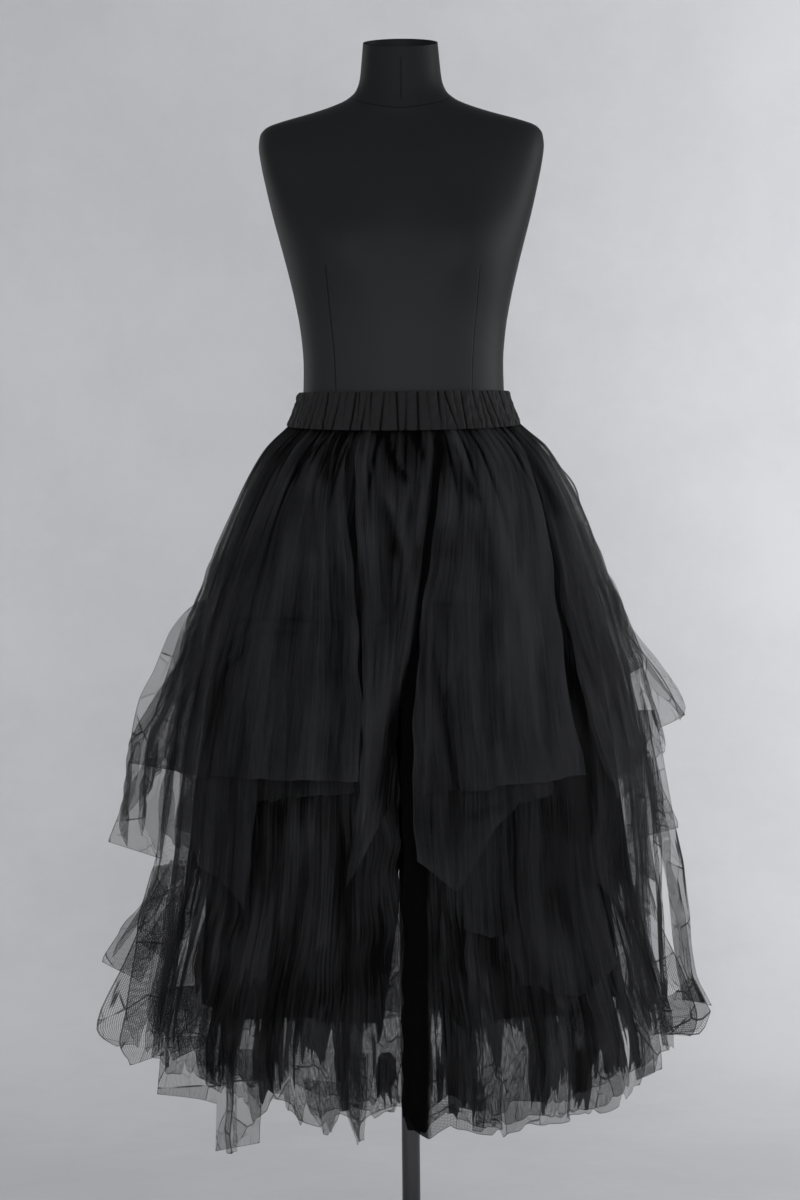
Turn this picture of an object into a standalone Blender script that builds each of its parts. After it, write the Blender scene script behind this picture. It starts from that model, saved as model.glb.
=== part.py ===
"""A gathered tulle skirt with an opaque lining, on a limbless dress form with a pole and a round base.

Metres, +Z up, the front of the skirt towards -Y. The origin is the centre of the base's underside.
Angles round the skirt are in degrees: 0 is the centre front, +90 the side at +X, 180 the centre back.
"""

import math
from collections import namedtuple

import bmesh
import bpy

# Heights of the whole
BASE_UNDERSIDE = 0.0
FORM_FOOT = 0.780
BAND_TOP = 1.120
BAND_HEIGHT = 0.046
BAND_FOOT = BAND_TOP - BAND_HEIGHT
NECK_TOP = 1.568
SEAM_GAP = 0.0003

# Cloth
TULLE_WALL = 0.0012
LINING_WALL = 0.0018
TOP_RANK = 4
OVAL_POWER = 2.1

# Stand
POLE_RADIUS = 0.0115
BASE_RADIUS = 0.160
BASE_THICKNESS = 0.010
BASE_EDGE_ROUND = 0.004
COLLAR_RADIUS = 0.024
COLLAR_HEIGHT = 0.030
SOCKET_RADIUS = 0.045
SOCKET_FLANGE = 0.010
SOCKET_SLEEVE_RADIUS = 0.019
SOCKET_SLEEVE_LENGTH = 0.055
STAND_SIDES = 24

# Dress form: a row for each level, from the flat foot to the foot of the neck
Level = namedtuple("Level", "height half_width front back power")
FORM_LEVELS = [
    Level(0.780, 0.156, 0.096, 0.108, 2.2),
    Level(0.860, 0.169, 0.103, 0.121, 2.2),
    Level(0.930, 0.172, 0.106, 0.124, 2.2),
    Level(1.000, 0.159, 0.103, 0.111, 2.1),
    Level(1.050, 0.1435, 0.0975, 0.098, 2.1),
    Level(1.074, 0.1365, 0.0945, 0.092, 2.1),
    Level(1.097, 0.1310, 0.0920, 0.088, 2.1),
    Level(1.120, 0.1275, 0.0905, 0.086, 2.1),
    Level(1.160, 0.1268, 0.0910, 0.085, 2.1),
    Level(1.200, 0.1300, 0.0945, 0.087, 2.1),
    Level(1.240, 0.1370, 0.0985, 0.090, 2.2),
    Level(1.275, 0.1450, 0.1015, 0.093, 2.3),
    Level(1.310, 0.1540, 0.1020, 0.096, 2.4),
    Level(1.348, 0.1640, 0.0965, 0.099, 2.5),
    Level(1.385, 0.1725, 0.0870, 0.100, 2.6),
    Level(1.415, 0.1785, 0.0770, 0.097, 2.8),
    Level(1.435, 0.1810, 0.0690, 0.091, 2.8),
    Level(1.449, 0.1795, 0.0630, 0.085, 2.7),
    Level(1.459, 0.1725, 0.0590, 0.079, 2.5),
    Level(1.467, 0.1520, 0.0560, 0.074, 2.3),
    Level(1.475, 0.1240, 0.0540, 0.069, 2.1),
    Level(1.484, 0.0950, 0.0520, 0.065, 2.0),
    Level(1.494, 0.0710, 0.0500, 0.061, 2.0),
    Level(1.506, 0.0575, 0.0485, 0.057, 2.0),
    Level(1.522, 0.0520, 0.0475, 0.054, 2.0),
    Level(1.546, 0.0495, 0.0465, 0.052, 2.0),
    Level(1.568, 0.0475, 0.0455, 0.051, 2.0),
]
FORM_SIDES = 40
BUST_HEIGHT = 1.292
BUST_OUT = 0.090
BUST_RISE = 0.017
BUST_SPREAD = 0.038
NECK_SLOPE_FROM = 1.500
NECK_SLOPE = 0.300
NECK_RIM = 0.0045
NECK_RECESS = 0.014

# Waistband
BAND_GATHERS = 44
BAND_EASE = 0.0005
Ring = namedtuple("Ring", "height crest valley")
BAND_RINGS = [
    Ring(BAND_FOOT, 0.0132, 0.0118),
    Ring(BAND_FOOT + 0.55 * BAND_HEIGHT, 0.0100, 0.0068),
    Ring(BAND_TOP, 0.0058, 0.0036),
]

# How far the lining and the outermost tulle stand from the axis, level by level
Spread = namedtuple("Spread", "height lining_side lining_front lining_back outer_side outer_front outer_back")
SPREADS = [
    Spread(0.220, 0.2640, 0.2260, 0.2340, 0.3470, 0.3130, 0.3230),
    Spread(0.355, 0.2600, 0.2200, 0.2290, 0.3440, 0.3080, 0.3180),
    Spread(0.450, 0.2570, 0.2140, 0.2230, 0.3400, 0.3000, 0.3100),
    Spread(0.550, 0.2520, 0.2060, 0.2150, 0.3330, 0.2880, 0.2970),
    Spread(0.660, 0.2430, 0.1930, 0.2020, 0.3200, 0.2690, 0.2780),
    Spread(0.760, 0.2310, 0.1780, 0.1850, 0.2980, 0.2430, 0.2500),
    Spread(0.830, 0.2190, 0.1650, 0.1700, 0.2770, 0.2200, 0.2250),
    Spread(0.890, 0.2070, 0.1520, 0.1550, 0.2560, 0.1980, 0.2010),
    Spread(0.950, 0.1920, 0.1370, 0.1380, 0.2320, 0.1740, 0.1740),
    Spread(1.000, 0.1760, 0.1230, 0.1220, 0.2080, 0.1520, 0.1500),
    Spread(1.045, 0.1560, 0.1090, 0.1060, 0.1800, 0.1290, 0.1260),
    Spread(1.074, 0.1392, 0.0972, 0.0947, 0.1496, 0.1076, 0.1051),
]
LOW_SPREAD_FROM = 0.550
LOW_SPREAD_OVER = 0.270
LOW_SPREAD = 0.57

# Folds that run down through every layer from the gathers
FOLDS_ROUND = 26
Depth = namedtuple("Depth", "height depth")
FOLD_DEPTHS = [
    Depth(0.220, 0.022),
    Depth(0.360, 0.018),
    Depth(0.500, 0.012),
    Depth(0.660, 0.008),
    Depth(0.860, 0.0065),
    Depth(0.930, 0.0050),
    Depth(1.000, 0.0035),
    Depth(1.045, 0.0016),
    Depth(1.074, 0.0003),
]
LINING_FOLDS_ROUND = 13
LINING_FOLD_SHARE = 0.4

# Rows of points down a panel: fixed heights near the band, then shares of the way on to the hem
TOP_ROWS = [BAND_FOOT - SEAM_GAP, 1.045, 1.000, 0.930]
LOWER_SHARES = {"petal": [0.34, 0.68, 1.0], "long": [0.30, 0.62, 0.84, 1.0], "lining": [0.30, 0.65, 1.0]}

# Lining: edges at the centre, in metres from the middle, at the heights where the slit opens and at the hem
LINING_HEM = 0.355
Slit = namedtuple("Slit", "panel side_deg centre_deg from_height at_mid at_hem")
LINING_PANELS = [
    Slit("lining_front_left", -90.0, 0.0, 0.860, 0.022, 0.036),
    Slit("lining_front_right", 90.0, 0.0, 0.860, 0.018, 0.105),
    Slit("lining_back_left", -90.0, -180.0, 0.520, 0.020, 0.085),
    Slit("lining_back_right", 90.0, 180.0, 0.520, 0.020, 0.085),
]
LINING_COLUMNS = 14

# Tulle petals. left and right give the edge's angle at the band, half way down and at the hem;
# hem gives the raw edge's height at even steps from left to right.
Petal = namedtuple("Petal", "name rank left right hem columns")
PETALS = [
    Petal("tulle_top_front_left", 4, (-53, -57, -59), (-25, -17, -13.5), (0.646, 0.645, 0.642), 12),
    Petal("tulle_top_centre", 4, (-22, -15, -12.5), (6, 1, -4), (0.520, 0.560, 0.610), 8),
    Petal("tulle_top_front_right", 4, (16, 4, 2.5), (58, 42, 40), (0.628, 0.636, 0.645), 12),
    Petal("tulle_top_side_right", 4, (61, 46, 47), (96, 88, 80), (0.612, 0.640, 0.690), 10),
    Petal("tulle_top_corner_right", 4, (98, 91, 84), (113, 108, 104), (0.725, 0.698, 0.735), 5),
    Petal("tulle_top_side_left", 4, (-101, -100, -98), (-55, -60, -62), (0.580, 0.550, 0.600, 0.630), 12),
    Petal("tulle_top_back_left", 4, (-150, -149, -147), (-104, -103, -101), (0.640, 0.610, 0.655), 12),
    Petal("tulle_top_back_centre", 4, (-206, -205, -203), (-153, -153, -151), (0.610, 0.640, 0.600), 12),
    Petal("tulle_top_back_right", 4, (116, 111, 107), (151, 152, 153), (0.650, 0.600, 0.635), 10),
    Petal("tulle_mid_front_left", 3, (-72, -76, -78), (-34, -35, -35.5), (0.570, 0.550, 0.490), 12),
    Petal("tulle_mid_front_right", 3, (14, 3, 1.5), (48, 38, 33), (0.550, 0.512, 0.580, 0.615, 0.625), 12),
    Petal("tulle_mid_side_right", 3, (52, 44, 42), (97, 97, 96), (0.520, 0.450, 0.470, 0.500), 14),
    Petal("tulle_mid_side_left", 3, (-103, -103, -102), (-75, -79, -81), (0.480, 0.405, 0.490), 8),
    Petal("tulle_mid_back_left", 3, (-179, -178, -177), (-108, -107, -106), (0.500, 0.460, 0.520, 0.480), 16),
    Petal("tulle_mid_back_right", 3, (100, 101, 101), (177, 178, 179), (0.490, 0.530, 0.460, 0.510), 16),
    Petal("tulle_under_front_left", 2, (-50, -55, -61), (-24, -15, -9), (0.588, 0.606, 0.622, 0.632), 12),
    Petal("tulle_under_point_right", 2, (15, 14, 11), (27, 24, 22.5), (0.470, 0.455, 0.460), 5),
    Petal("tulle_under_front_right", 2, (30, 27, 24), (60, 52, 50), (0.400, 0.385, 0.420), 10),
]

# The long layer: a row for each petal, with its edges at the band and at the hem
LONG_RANK = 1
LONG_EDGES = [
    ("tulle_long_front", (-3, -1, 2.2), (15, 14, 11.5), (0.262, 0.248, 0.256), 8),
    ("tulle_long_front_right", (16, 17, 19), (54, 53, 52), (0.285, 0.258, 0.262, 0.250, 0.270), 16),
    ("tulle_long_side_right", (55, 55, 54), (96, 96, 95), (0.270, 0.262, 0.290, 0.300), 16),
    ("tulle_long_back_right", (97, 97, 97), (138, 138, 137), (0.300, 0.270, 0.290, 0.265), 16),
    ("tulle_long_back_centre_right", (139, 139, 140), (179, 179, 178), (0.270, 0.290, 0.265, 0.285), 16),
    ("tulle_long_back_centre_left", (-180, -180, -179), (-139, -139, -140), (0.280, 0.262, 0.292, 0.270), 16),
    ("tulle_long_back_left", (-138, -138, -137), (-96, -96, -97), (0.268, 0.295, 0.272, 0.300), 16),
    ("tulle_long_side_left", (-95, -95, -94), (-50, -50, -51), (0.300, 0.282, 0.290, 0.270), 16),
    ("tulle_long_front_left", (-49, -48, -47), (-4, -4.5, -5.5), (0.262, 0.272, 0.236, 0.262, 0.250), 16),
]
LOW_PETALS = [
    Petal("tulle_low_side_left", 2, (-104, -104, -103), (-73, -70, -65), (0.400, 0.330, 0.300, 0.310), 10),
    Petal("tulle_low_side_right", 2, (72, 70, 66), (103, 102, 100), (0.345, 0.350, 0.335, 0.400), 10),
]
LONG_PETALS = [
    Petal(name, LONG_RANK, left, right, hem, columns)
    for name, left, right, hem, columns in LONG_EDGES
]

# Hems that stand out beyond their layer, by how much and from what height down
Kick = namedtuple("Kick", "out from_height")
KICK_OVER = 0.130
NO_KICK = Kick(0.0, 0.0)
KICKS = {
    "tulle_top_side_right": Kick(0.012, 0.800),
    "tulle_top_corner_right": Kick(0.042, 0.850),
    "tulle_top_side_left": Kick(0.030, 0.800),
    "tulle_mid_side_left": Kick(0.026, 0.520),
    "tulle_low_side_left": Kick(0.010, 0.390),
    "tulle_low_side_right": Kick(0.024, 0.430),
}

# Colours: red, green, blue, roughness, metallic
Paint = namedtuple("Paint", "name red green blue roughness metallic")
PAINTS = {
    "jersey": Paint("jersey_charcoal", 0.018, 0.019, 0.021, 0.80, 0.0),
    "steel": Paint("brushed_steel", 0.36, 0.36, 0.37, 0.35, 1.0),
    "band": Paint("band_black_twill", 0.012, 0.012, 0.013, 0.85, 0.0),
    "lining": Paint("lining_black", 0.006, 0.006, 0.0065, 0.75, 0.0),
    "tulle": Paint("tulle_black", 0.011, 0.011, 0.012, 0.60, 0.0),
}


def clear_scene():
    for old in list(bpy.data.objects):
        bpy.data.objects.remove(old, do_unlink=True)


def read_rows(rows, column, height):
    """The column's value at a height, on a smooth curve through rows sorted by rising height."""
    heights = [row.height for row in rows]
    values = [getattr(row, column) for row in rows]
    height = min(max(height, heights[0]), heights[-1])
    i = max(k for k in range(len(rows) - 1) if heights[k] <= height)
    span = heights[i + 1] - heights[i]
    t = (height - heights[i]) / span

    def slope(k):
        if k == 0 or k == len(rows) - 1:
            near = min(max(k, 1), len(rows) - 1)
            return (values[near] - values[near - 1]) / (heights[near] - heights[near - 1])
        before = (values[k] - values[k - 1]) / (heights[k] - heights[k - 1])
        after = (values[k + 1] - values[k]) / (heights[k + 1] - heights[k])
        if before * after <= 0:
            return 0.0
        return 2 * before * after / (before + after)

    start, end = slope(i) * span, slope(i + 1) * span
    return (
        values[i] * (1 + 2 * t) * (1 - t) ** 2
        + values[i + 1] * t * t * (3 - 2 * t)
        + start * t * (1 - t) ** 2
        - end * t * t * (1 - t)
    )


def smooth_step(t):
    t = min(max(t, 0.0), 1.0)
    return t * t * (3 - 2 * t)


def even_steps(values, share):
    """The value at a share of the way along a list of values set at even steps."""
    place = min(max(share, 0.0), 1.0) * (len(values) - 1)
    i = min(int(place), len(values) - 2)
    return values[i] + (values[i + 1] - values[i]) * (place - i)


def through_three(values, share):
    """A smooth edge through its start, middle and end values."""
    start, middle, end = values
    return (
        start * (1 - share) * (1 - 2 * share)
        + middle * 4 * share * (1 - share)
        + end * share * (2 * share - 1)
    )


def oval(angle, side, front, back, power):
    """A point of a rounded section, from its half width and its depths to the front and the back."""
    sine, cosine = math.sin(math.radians(angle)), math.cos(math.radians(angle))
    depth = front if cosine >= 0 else back
    return (
        side * math.copysign(abs(sine) ** (2 / power), sine),
        -depth * math.copysign(abs(cosine) ** (2 / power), cosine),
    )


def outward(angle, side, depth):
    """The direction straight out of a section at an angle."""
    x = math.sin(math.radians(angle)) / side
    y = -math.cos(math.radians(angle)) / depth
    length = math.hypot(x, y)
    return x / length, y / length


def paint(obj, name):
    tone = PAINTS[name]
    material = bpy.data.materials.get(tone.name)
    if material is None:
        material = bpy.data.materials.new(tone.name)
        material.use_nodes = True
        shader = material.node_tree.nodes["Principled BSDF"]
        shader.inputs["Base Color"].default_value = (tone.red, tone.green, tone.blue, 1.0)
        shader.inputs["Roughness"].default_value = tone.roughness
        shader.inputs["Metallic"].default_value = tone.metallic
    obj.data.materials.append(material)


def new_object(name, bm, paint_name):
    """A smooth shaded object made from an edit mesh, with its faces pointing out."""
    bmesh.ops.recalc_face_normals(bm, faces=bm.faces[:])
    mesh = bpy.data.meshes.new(name)
    bm.to_mesh(mesh)
    bm.free()
    mesh.shade_smooth()
    obj = bpy.data.objects.new(name, mesh)
    bpy.context.scene.collection.objects.link(obj)
    paint(obj, paint_name)
    return obj


def join_rings(bm, rings, closed):
    """Faces between neighbouring rings of vertices; closed also joins each ring's ends."""
    last = len(rings[0]) if closed else len(rings[0]) - 1
    for upper, lower in zip(rings, rings[1:]):
        for k in range(last):
            after = (k + 1) % len(upper)
            bm.faces.new((upper[k], lower[k], lower[after], upper[after]))


def turned(name, profile, paint_name, closed_ring=False):
    """A solid of revolution about the pole; a profile that is a closed ring makes a sleeve."""
    bm = bmesh.new()
    rings = []
    for radius, height in profile:
        ring = []
        for k in range(STAND_SIDES):
            turn = 2 * math.pi * k / STAND_SIDES
            ring.append(bm.verts.new((radius * math.cos(turn), radius * math.sin(turn), height)))
        rings.append(ring)
    if closed_ring:
        rings.append(rings[0])
    join_rings(bm, rings, closed=True)
    if not closed_ring:
        bm.faces.new(rings[0])
        bm.faces.new(rings[-1])
    obj = new_object(name, bm, paint_name)
    obj.data.set_sharp_from_angle(angle=math.radians(40))
    return obj


def form_level(height):
    return [read_rows(FORM_LEVELS, column, height) for column in ("half_width", "front", "back", "power")]


def form_point(angle, height, out=0.0):
    """A point on the dress form, or out from it; the chest rises softly over the two cups."""
    side, front, back, power = form_level(height)
    x, y = oval(angle, side, front, back, power)
    if math.cos(math.radians(angle)) > 0:
        across = (abs(x) - BUST_OUT) / BUST_SPREAD
        up = (height - BUST_HEIGHT) / BUST_SPREAD
        y -= BUST_RISE * math.exp(-0.5 * (across**2 + up**2)) * math.cos(math.radians(angle)) ** 0.5
    out_x, out_y = outward(angle, side, front if y < 0 else back)
    slope = NECK_SLOPE * smooth_step((height - NECK_SLOPE_FROM) / (NECK_TOP - NECK_SLOPE_FROM))
    return x + out * out_x, y + out * out_y, height + slope * y


def make_form_torso():
    bm = bmesh.new()
    angles = [360 * k / FORM_SIDES for k in range(FORM_SIDES)]
    rings = [[bm.verts.new(form_point(a, level.height)) for a in angles] for level in FORM_LEVELS]
    rim = [bm.verts.new(form_point(a, NECK_TOP, -NECK_RIM)) for a in angles]
    floor = []
    for vertex in rim:
        floor.append(bm.verts.new((vertex.co.x, vertex.co.y, vertex.co.z - NECK_RECESS)))
    rings += [rim, floor]
    join_rings(bm, rings, closed=True)
    bm.faces.new(rings[0])
    bm.faces.new(floor)
    torso = new_object("form_torso", bm, "jersey")
    torso.data.set_sharp_from_angle(angle=math.radians(50))


def make_stand():
    edge = BASE_EDGE_ROUND
    rise = BASE_UNDERSIDE + BASE_THICKNESS
    turned(
        "stand_base",
        [
            (BASE_RADIUS, BASE_UNDERSIDE),
            (BASE_RADIUS, rise - edge),
            (BASE_RADIUS - 0.3 * edge, rise - 0.3 * edge),
            (BASE_RADIUS - edge, rise),
        ],
        "steel",
    )
    bore = POLE_RADIUS + SEAM_GAP
    foot = rise + SEAM_GAP
    turned(
        "stand_collar",
        [
            (bore, foot),
            (COLLAR_RADIUS, foot),
            (COLLAR_RADIUS, foot + COLLAR_HEIGHT - edge),
            (COLLAR_RADIUS - edge, foot + COLLAR_HEIGHT),
            (bore, foot + COLLAR_HEIGHT),
        ],
        "steel",
        closed_ring=True,
    )
    head = FORM_FOOT - SEAM_GAP
    turned("stand_pole", [(POLE_RADIUS, foot), (POLE_RADIUS, head)], "steel")
    turned(
        "stand_socket",
        [
            (bore, head),
            (SOCKET_RADIUS, head),
            (SOCKET_RADIUS, head - SOCKET_FLANGE),
            (SOCKET_SLEEVE_RADIUS, head - SOCKET_FLANGE),
            (SOCKET_SLEEVE_RADIUS, head - SOCKET_SLEEVE_LENGTH),
            (bore, head - SOCKET_SLEEVE_LENGTH),
        ],
        "steel",
        closed_ring=True,
    )


def gather_angle(place):
    """Where a gather falls round the band; the spacing is uneven, as elastic leaves it."""
    step = 360 / BAND_GATHERS
    return step * (place + 0.24 * math.sin(2.4 * place) + 0.16 * math.sin(0.9 * place + 1.0))


def make_waistband():
    """A gathered casing: three columns to a gather, one in its valley and two on its crest."""
    bm = bmesh.new()
    columns = []
    for k in range(BAND_GATHERS):
        start = gather_angle(k)
        width = gather_angle(k + 1) - start if k + 1 < BAND_GATHERS else 360 + gather_angle(0) - start
        columns += [(start, True), (start + 0.32 * width, False), (start + 0.70 * width, False)]
    rings = []
    for ring in BAND_RINGS:
        points = [form_point(a, ring.height, ring.valley if deep else ring.crest) for a, deep in columns]
        rings.append([bm.verts.new(point) for point in points])
    for height in (BAND_TOP, BAND_FOOT):
        rings.append([bm.verts.new(form_point(a, height, BAND_EASE)) for a, _ in columns])
    join_rings(bm, rings + [rings[0]], closed=True)
    new_object("waistband", bm, "band")


def layer_share(rank, height):
    """How far out a layer lies, from 0 at the lining to 1 at the outermost tulle above the hems."""
    low = smooth_step((LOW_SPREAD_FROM - height) / LOW_SPREAD_OVER)
    return rank / TOP_RANK + (LOW_SPREAD * low if rank else 0.0)


def fold(angle, height, rank):
    """How far the folds that fall from the gathers push a layer out or in."""
    turn = math.radians(angle)
    count = FOLDS_ROUND if rank else LINING_FOLDS_ROUND
    wave = math.sin(count * turn + 0.9 * math.sin(3 * turn + 0.6) + 0.5 * math.sin(5 * turn))
    return read_rows(FOLD_DEPTHS, "depth", height) * wave * (1.0 if rank else LINING_FOLD_SHARE)


def cloth_point(angle, height, rank, out=0.0):
    """A point on a layer of the skirt."""
    share = layer_share(rank, height)

    def reach(side):
        inner = read_rows(SPREADS, "lining_" + side, height)
        outer = read_rows(SPREADS, "outer_" + side, height)
        return inner + share * (outer - inner)

    half_width, front, back = reach("side"), reach("front"), reach("back")
    x, y = oval(angle, half_width, front, back, OVAL_POWER)
    facing_front = math.cos(math.radians(angle)) >= 0
    out_x, out_y = outward(angle, half_width, front if facing_front else back)
    push = out + fold(angle, height, rank)
    return x + push * out_x, y + push * out_y, height


def row_heights(kind, hem):
    shares = LOWER_SHARES[kind]
    return TOP_ROWS + [TOP_ROWS[-1] + (hem - TOP_ROWS[-1]) * share for share in shares]


def lean(height, rank):
    """How much longer a level cut through a layer is than its thickness, where the layer slopes outwards."""
    step = 0.004
    low, high = max(height - step, SPREADS[0].height), min(height + step, SPREADS[-1].height)
    rise = cloth_point(90.0, low, rank)[0] - cloth_point(90.0, high, rank)[0]
    return math.hypot(1.0, rise / (high - low))


def rim_of(grid):
    """The vertices round the edge of a grid, in order."""
    top_and_right = grid[0] + [row[-1] for row in grid[1:]]
    foot_and_left = grid[-1][-2::-1] + [row[0] for row in grid[-2:0:-1]]
    return top_and_right + foot_and_left


def join_triangles(bm, grid, face_in):
    """Pairs of triangles over a grid, split along one diagonal, so that both sides of a wall stay apart."""
    for upper, lower in zip(grid, grid[1:]):
        for k in range(len(upper) - 1):
            for triangle in (
                (upper[k], lower[k], lower[k + 1]),
                (upper[k], lower[k + 1], upper[k + 1]),
            ):
                bm.faces.new(triangle[::-1] if face_in else triangle)


def cloth_wall(name, place, rows, columns, wall, paint_name):
    """A wall of cloth; place(row, column, out) gives a point of it, and out is 0 on its outer face."""
    bm = bmesh.new()
    faces = []
    for out in (0.0, -wall):
        points = [[place(row, column, out) for column in range(columns + 1)] for row in range(rows)]
        faces.append([[bm.verts.new(point) for point in row] for row in points])
    outer, inner = faces
    join_triangles(bm, outer, face_in=False)
    join_triangles(bm, inner, face_in=True)
    join_rings(bm, [rim_of(outer), rim_of(inner)], closed=True)
    return new_object(name, bm, paint_name)


def make_petal(petal, kind):
    """A tulle panel that hangs free from the band between two raw edges."""

    bulge = KICKS.get(petal.name, NO_KICK)

    def place(row, column, out):
        across = column / petal.columns
        hem = even_steps(petal.hem, across)
        height = row_heights(kind, hem)[row]
        down = (BAND_FOOT - height) / (BAND_FOOT - hem)
        left = through_three(petal.left, down)
        right = through_three(petal.right, down)
        kick = bulge.out * smooth_step((bulge.from_height - height) / KICK_OVER)
        reach = kick + out * lean(height, petal.rank)
        return cloth_point(left + (right - left) * across, height, petal.rank, reach)

    rows = len(row_heights(kind, 0.0))
    return cloth_wall(petal.name, place, rows, petal.columns, TULLE_WALL, "tulle")


def make_lining_panel(slit):
    """A lining panel from the side seam to the centre seam, which opens into a slit lower down."""
    at_back = abs(slit.centre_deg) > 90
    sign = math.copysign(1.0, slit.side_deg)
    heights = row_heights("lining", LINING_HEM)

    def place(row, column, out):
        height = heights[row]
        side = read_rows(SPREADS, "lining_side", height)
        opened = (slit.from_height - height) / (slit.from_height - LINING_HEM)
        gap = even_steps((0.0, slit.at_mid, slit.at_hem), opened)
        turn = math.degrees(math.asin(((SEAM_GAP / 2 + gap) / side) ** (OVAL_POWER / 2)))
        seam = math.degrees(SEAM_GAP / side)
        centre = 180 - turn if at_back else turn
        start = 90 + seam if at_back else 90 - seam
        share = column / LINING_COLUMNS
        if at_back != (sign > 0):
            share = 1 - share
        angle = start + (centre - start) * share
        return cloth_point(sign * angle, height, 0, out * lean(height, 0))

    return cloth_wall(slit.panel, place, len(heights), LINING_COLUMNS, LINING_WALL, "lining")


def main():
    clear_scene()
    make_form_torso()
    make_stand()
    make_waistband()
    for slit in LINING_PANELS:
        make_lining_panel(slit)
    for petal in LONG_PETALS + LOW_PETALS:
        make_petal(petal, "long")
    for petal in PETALS:
        make_petal(petal, "petal")


main()
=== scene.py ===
# %% [markdown]
# # A tulle skirt on a dress form
#
# This notebook dresses a fixed model: a layered net skirt over an opaque lining, gathered into an elastic
# waistband, on a dress form with a pole and a round base. Lengths are in metres, but for two tables that say
# millimetres. +Z is up and the front of the skirt faces -Y. Angles round the skirt are in degrees: 0 at the
# centre front, +90 at the viewer's right.

# %% Load the model
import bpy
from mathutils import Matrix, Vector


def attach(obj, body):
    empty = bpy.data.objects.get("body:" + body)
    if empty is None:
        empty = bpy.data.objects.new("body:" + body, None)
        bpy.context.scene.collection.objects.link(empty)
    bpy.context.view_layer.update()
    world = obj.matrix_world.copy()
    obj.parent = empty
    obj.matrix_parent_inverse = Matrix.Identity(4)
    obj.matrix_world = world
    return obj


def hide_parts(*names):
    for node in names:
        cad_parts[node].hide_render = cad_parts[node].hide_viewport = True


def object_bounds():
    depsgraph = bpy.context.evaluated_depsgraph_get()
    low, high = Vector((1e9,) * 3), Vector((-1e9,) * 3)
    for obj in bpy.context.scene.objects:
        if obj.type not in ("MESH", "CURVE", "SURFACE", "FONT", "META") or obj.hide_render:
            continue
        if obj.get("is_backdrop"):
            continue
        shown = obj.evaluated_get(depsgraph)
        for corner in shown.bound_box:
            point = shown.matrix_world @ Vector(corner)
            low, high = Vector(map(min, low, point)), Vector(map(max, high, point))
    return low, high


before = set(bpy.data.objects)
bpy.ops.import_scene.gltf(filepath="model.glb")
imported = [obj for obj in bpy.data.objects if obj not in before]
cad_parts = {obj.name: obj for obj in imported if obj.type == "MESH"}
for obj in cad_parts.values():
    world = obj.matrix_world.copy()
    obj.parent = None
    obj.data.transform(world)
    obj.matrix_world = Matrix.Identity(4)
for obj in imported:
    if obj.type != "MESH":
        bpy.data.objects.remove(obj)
cad_low, cad_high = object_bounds()

import math
from collections import namedtuple

import bmesh
import bpy
import numpy as np
from mathutils import Vector

# %% [markdown]
# ## Camera
#
# The photographer stood in front of the form with a short telephoto lens at about hip height, level but for a
# slight lean of the picture. The camera could be aimed with a constraint; three numbers are simpler here.

# %% Camera
CAMERA_DISTANCE = 3.6
CAMERA_HEIGHT = 0.86
CAMERA_OFFSET = -0.0072
CAMERA_LEAN_DEG = 0.55
bpy.ops.object.select_all(action="DESELECT")
bpy.ops.object.camera_add(
    location=(CAMERA_OFFSET, -CAMERA_DISTANCE, CAMERA_HEIGHT),
    rotation=(math.radians(90), math.radians(CAMERA_LEAN_DEG), 0.0),
)
camera = bpy.context.object
camera.name = "photo_camera"
camera.data.lens = 85
camera.data.sensor_width = 36
camera.data.sensor_fit = "AUTO"
camera.data.clip_end = 60
bpy.context.scene.camera = camera
print("camera at", [round(v, 3) for v in camera.location])

# %% [markdown]
# ## Helpers
#
# The dressed pieces follow the same sizes as the solid model, so the tables of that model are repeated here:
# how wide the form is at each level, and how far each layer of net stands out. A smooth curve through each
# table gives the size at any height. NumPy works on all points of a piece at once.

# %% Read a table of sizes
def table(*rows):
    """Rows of numbers, sorted by rising height, one column to a size"""
    return np.array(rows, dtype=float)


def read_table(rows, column, height):
    """The column's value at each height, on a smooth curve that never overshoots"""
    heights, values = rows[:, 0], rows[:, column]
    height = np.clip(height, heights[0], heights[-1])
    i = np.clip(np.searchsorted(heights, height, side="right") - 1, 0, len(heights) - 2)
    steps = np.diff(values) / np.diff(heights)
    before, after = steps[:-1], steps[1:]
    both = np.where(before + after == 0, 1, before + after)
    inner = np.where(before * after > 0, 2 * before * after / both, 0)
    slope = np.concatenate([[steps[0]], inner, [steps[-1]]])
    span = heights[i + 1] - heights[i]
    t = (height - heights[i]) / span
    rise = values[i] * (1 + 2 * t) * (1 - t) ** 2 + values[i + 1] * t * t * (3 - 2 * t)
    return rise + span * (slope[i] * t * (1 - t) ** 2 - slope[i + 1] * t * t * (1 - t))


def smooth_step(t):
    t = np.clip(t, 0.0, 1.0)
    return t * t * (3 - 2 * t)


def soft_noise(u, v, grain, seed):
    """Soft unevenness of about -1 to 1, the same on every run; grain is its size in metres"""
    rng = np.random.default_rng(seed)
    total = 0.0
    for _ in range(7):
        turn, phase, stretch = rng.uniform(0, 2 * np.pi), rng.uniform(0, 2 * np.pi), rng.uniform(0.6, 1.6)
        total = total + np.sin((u * np.cos(turn) + v * np.sin(turn)) * 2 * np.pi / (grain * stretch) + phase)
    return total / 2.8


def short_way(degrees):
    """The same turn as -180 to 180 degrees"""
    return (degrees + 180) % 360 - 180


print("noise", round(float(soft_noise(0.1, 0.2, 0.05, 3)), 3))

# %% Work on meshes as by hand
def deselect():
    if bpy.context.mode != "OBJECT":
        bpy.ops.object.mode_set(mode="OBJECT")
    bpy.ops.object.select_all(action="DESELECT")


def take(obj):
    """Makes one object the selected and active one"""
    deselect()
    obj.select_set(True)
    bpy.context.view_layer.objects.active = obj
    return obj


def named(obj, name):
    obj.name = name
    obj.data.name = name
    return obj


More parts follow.
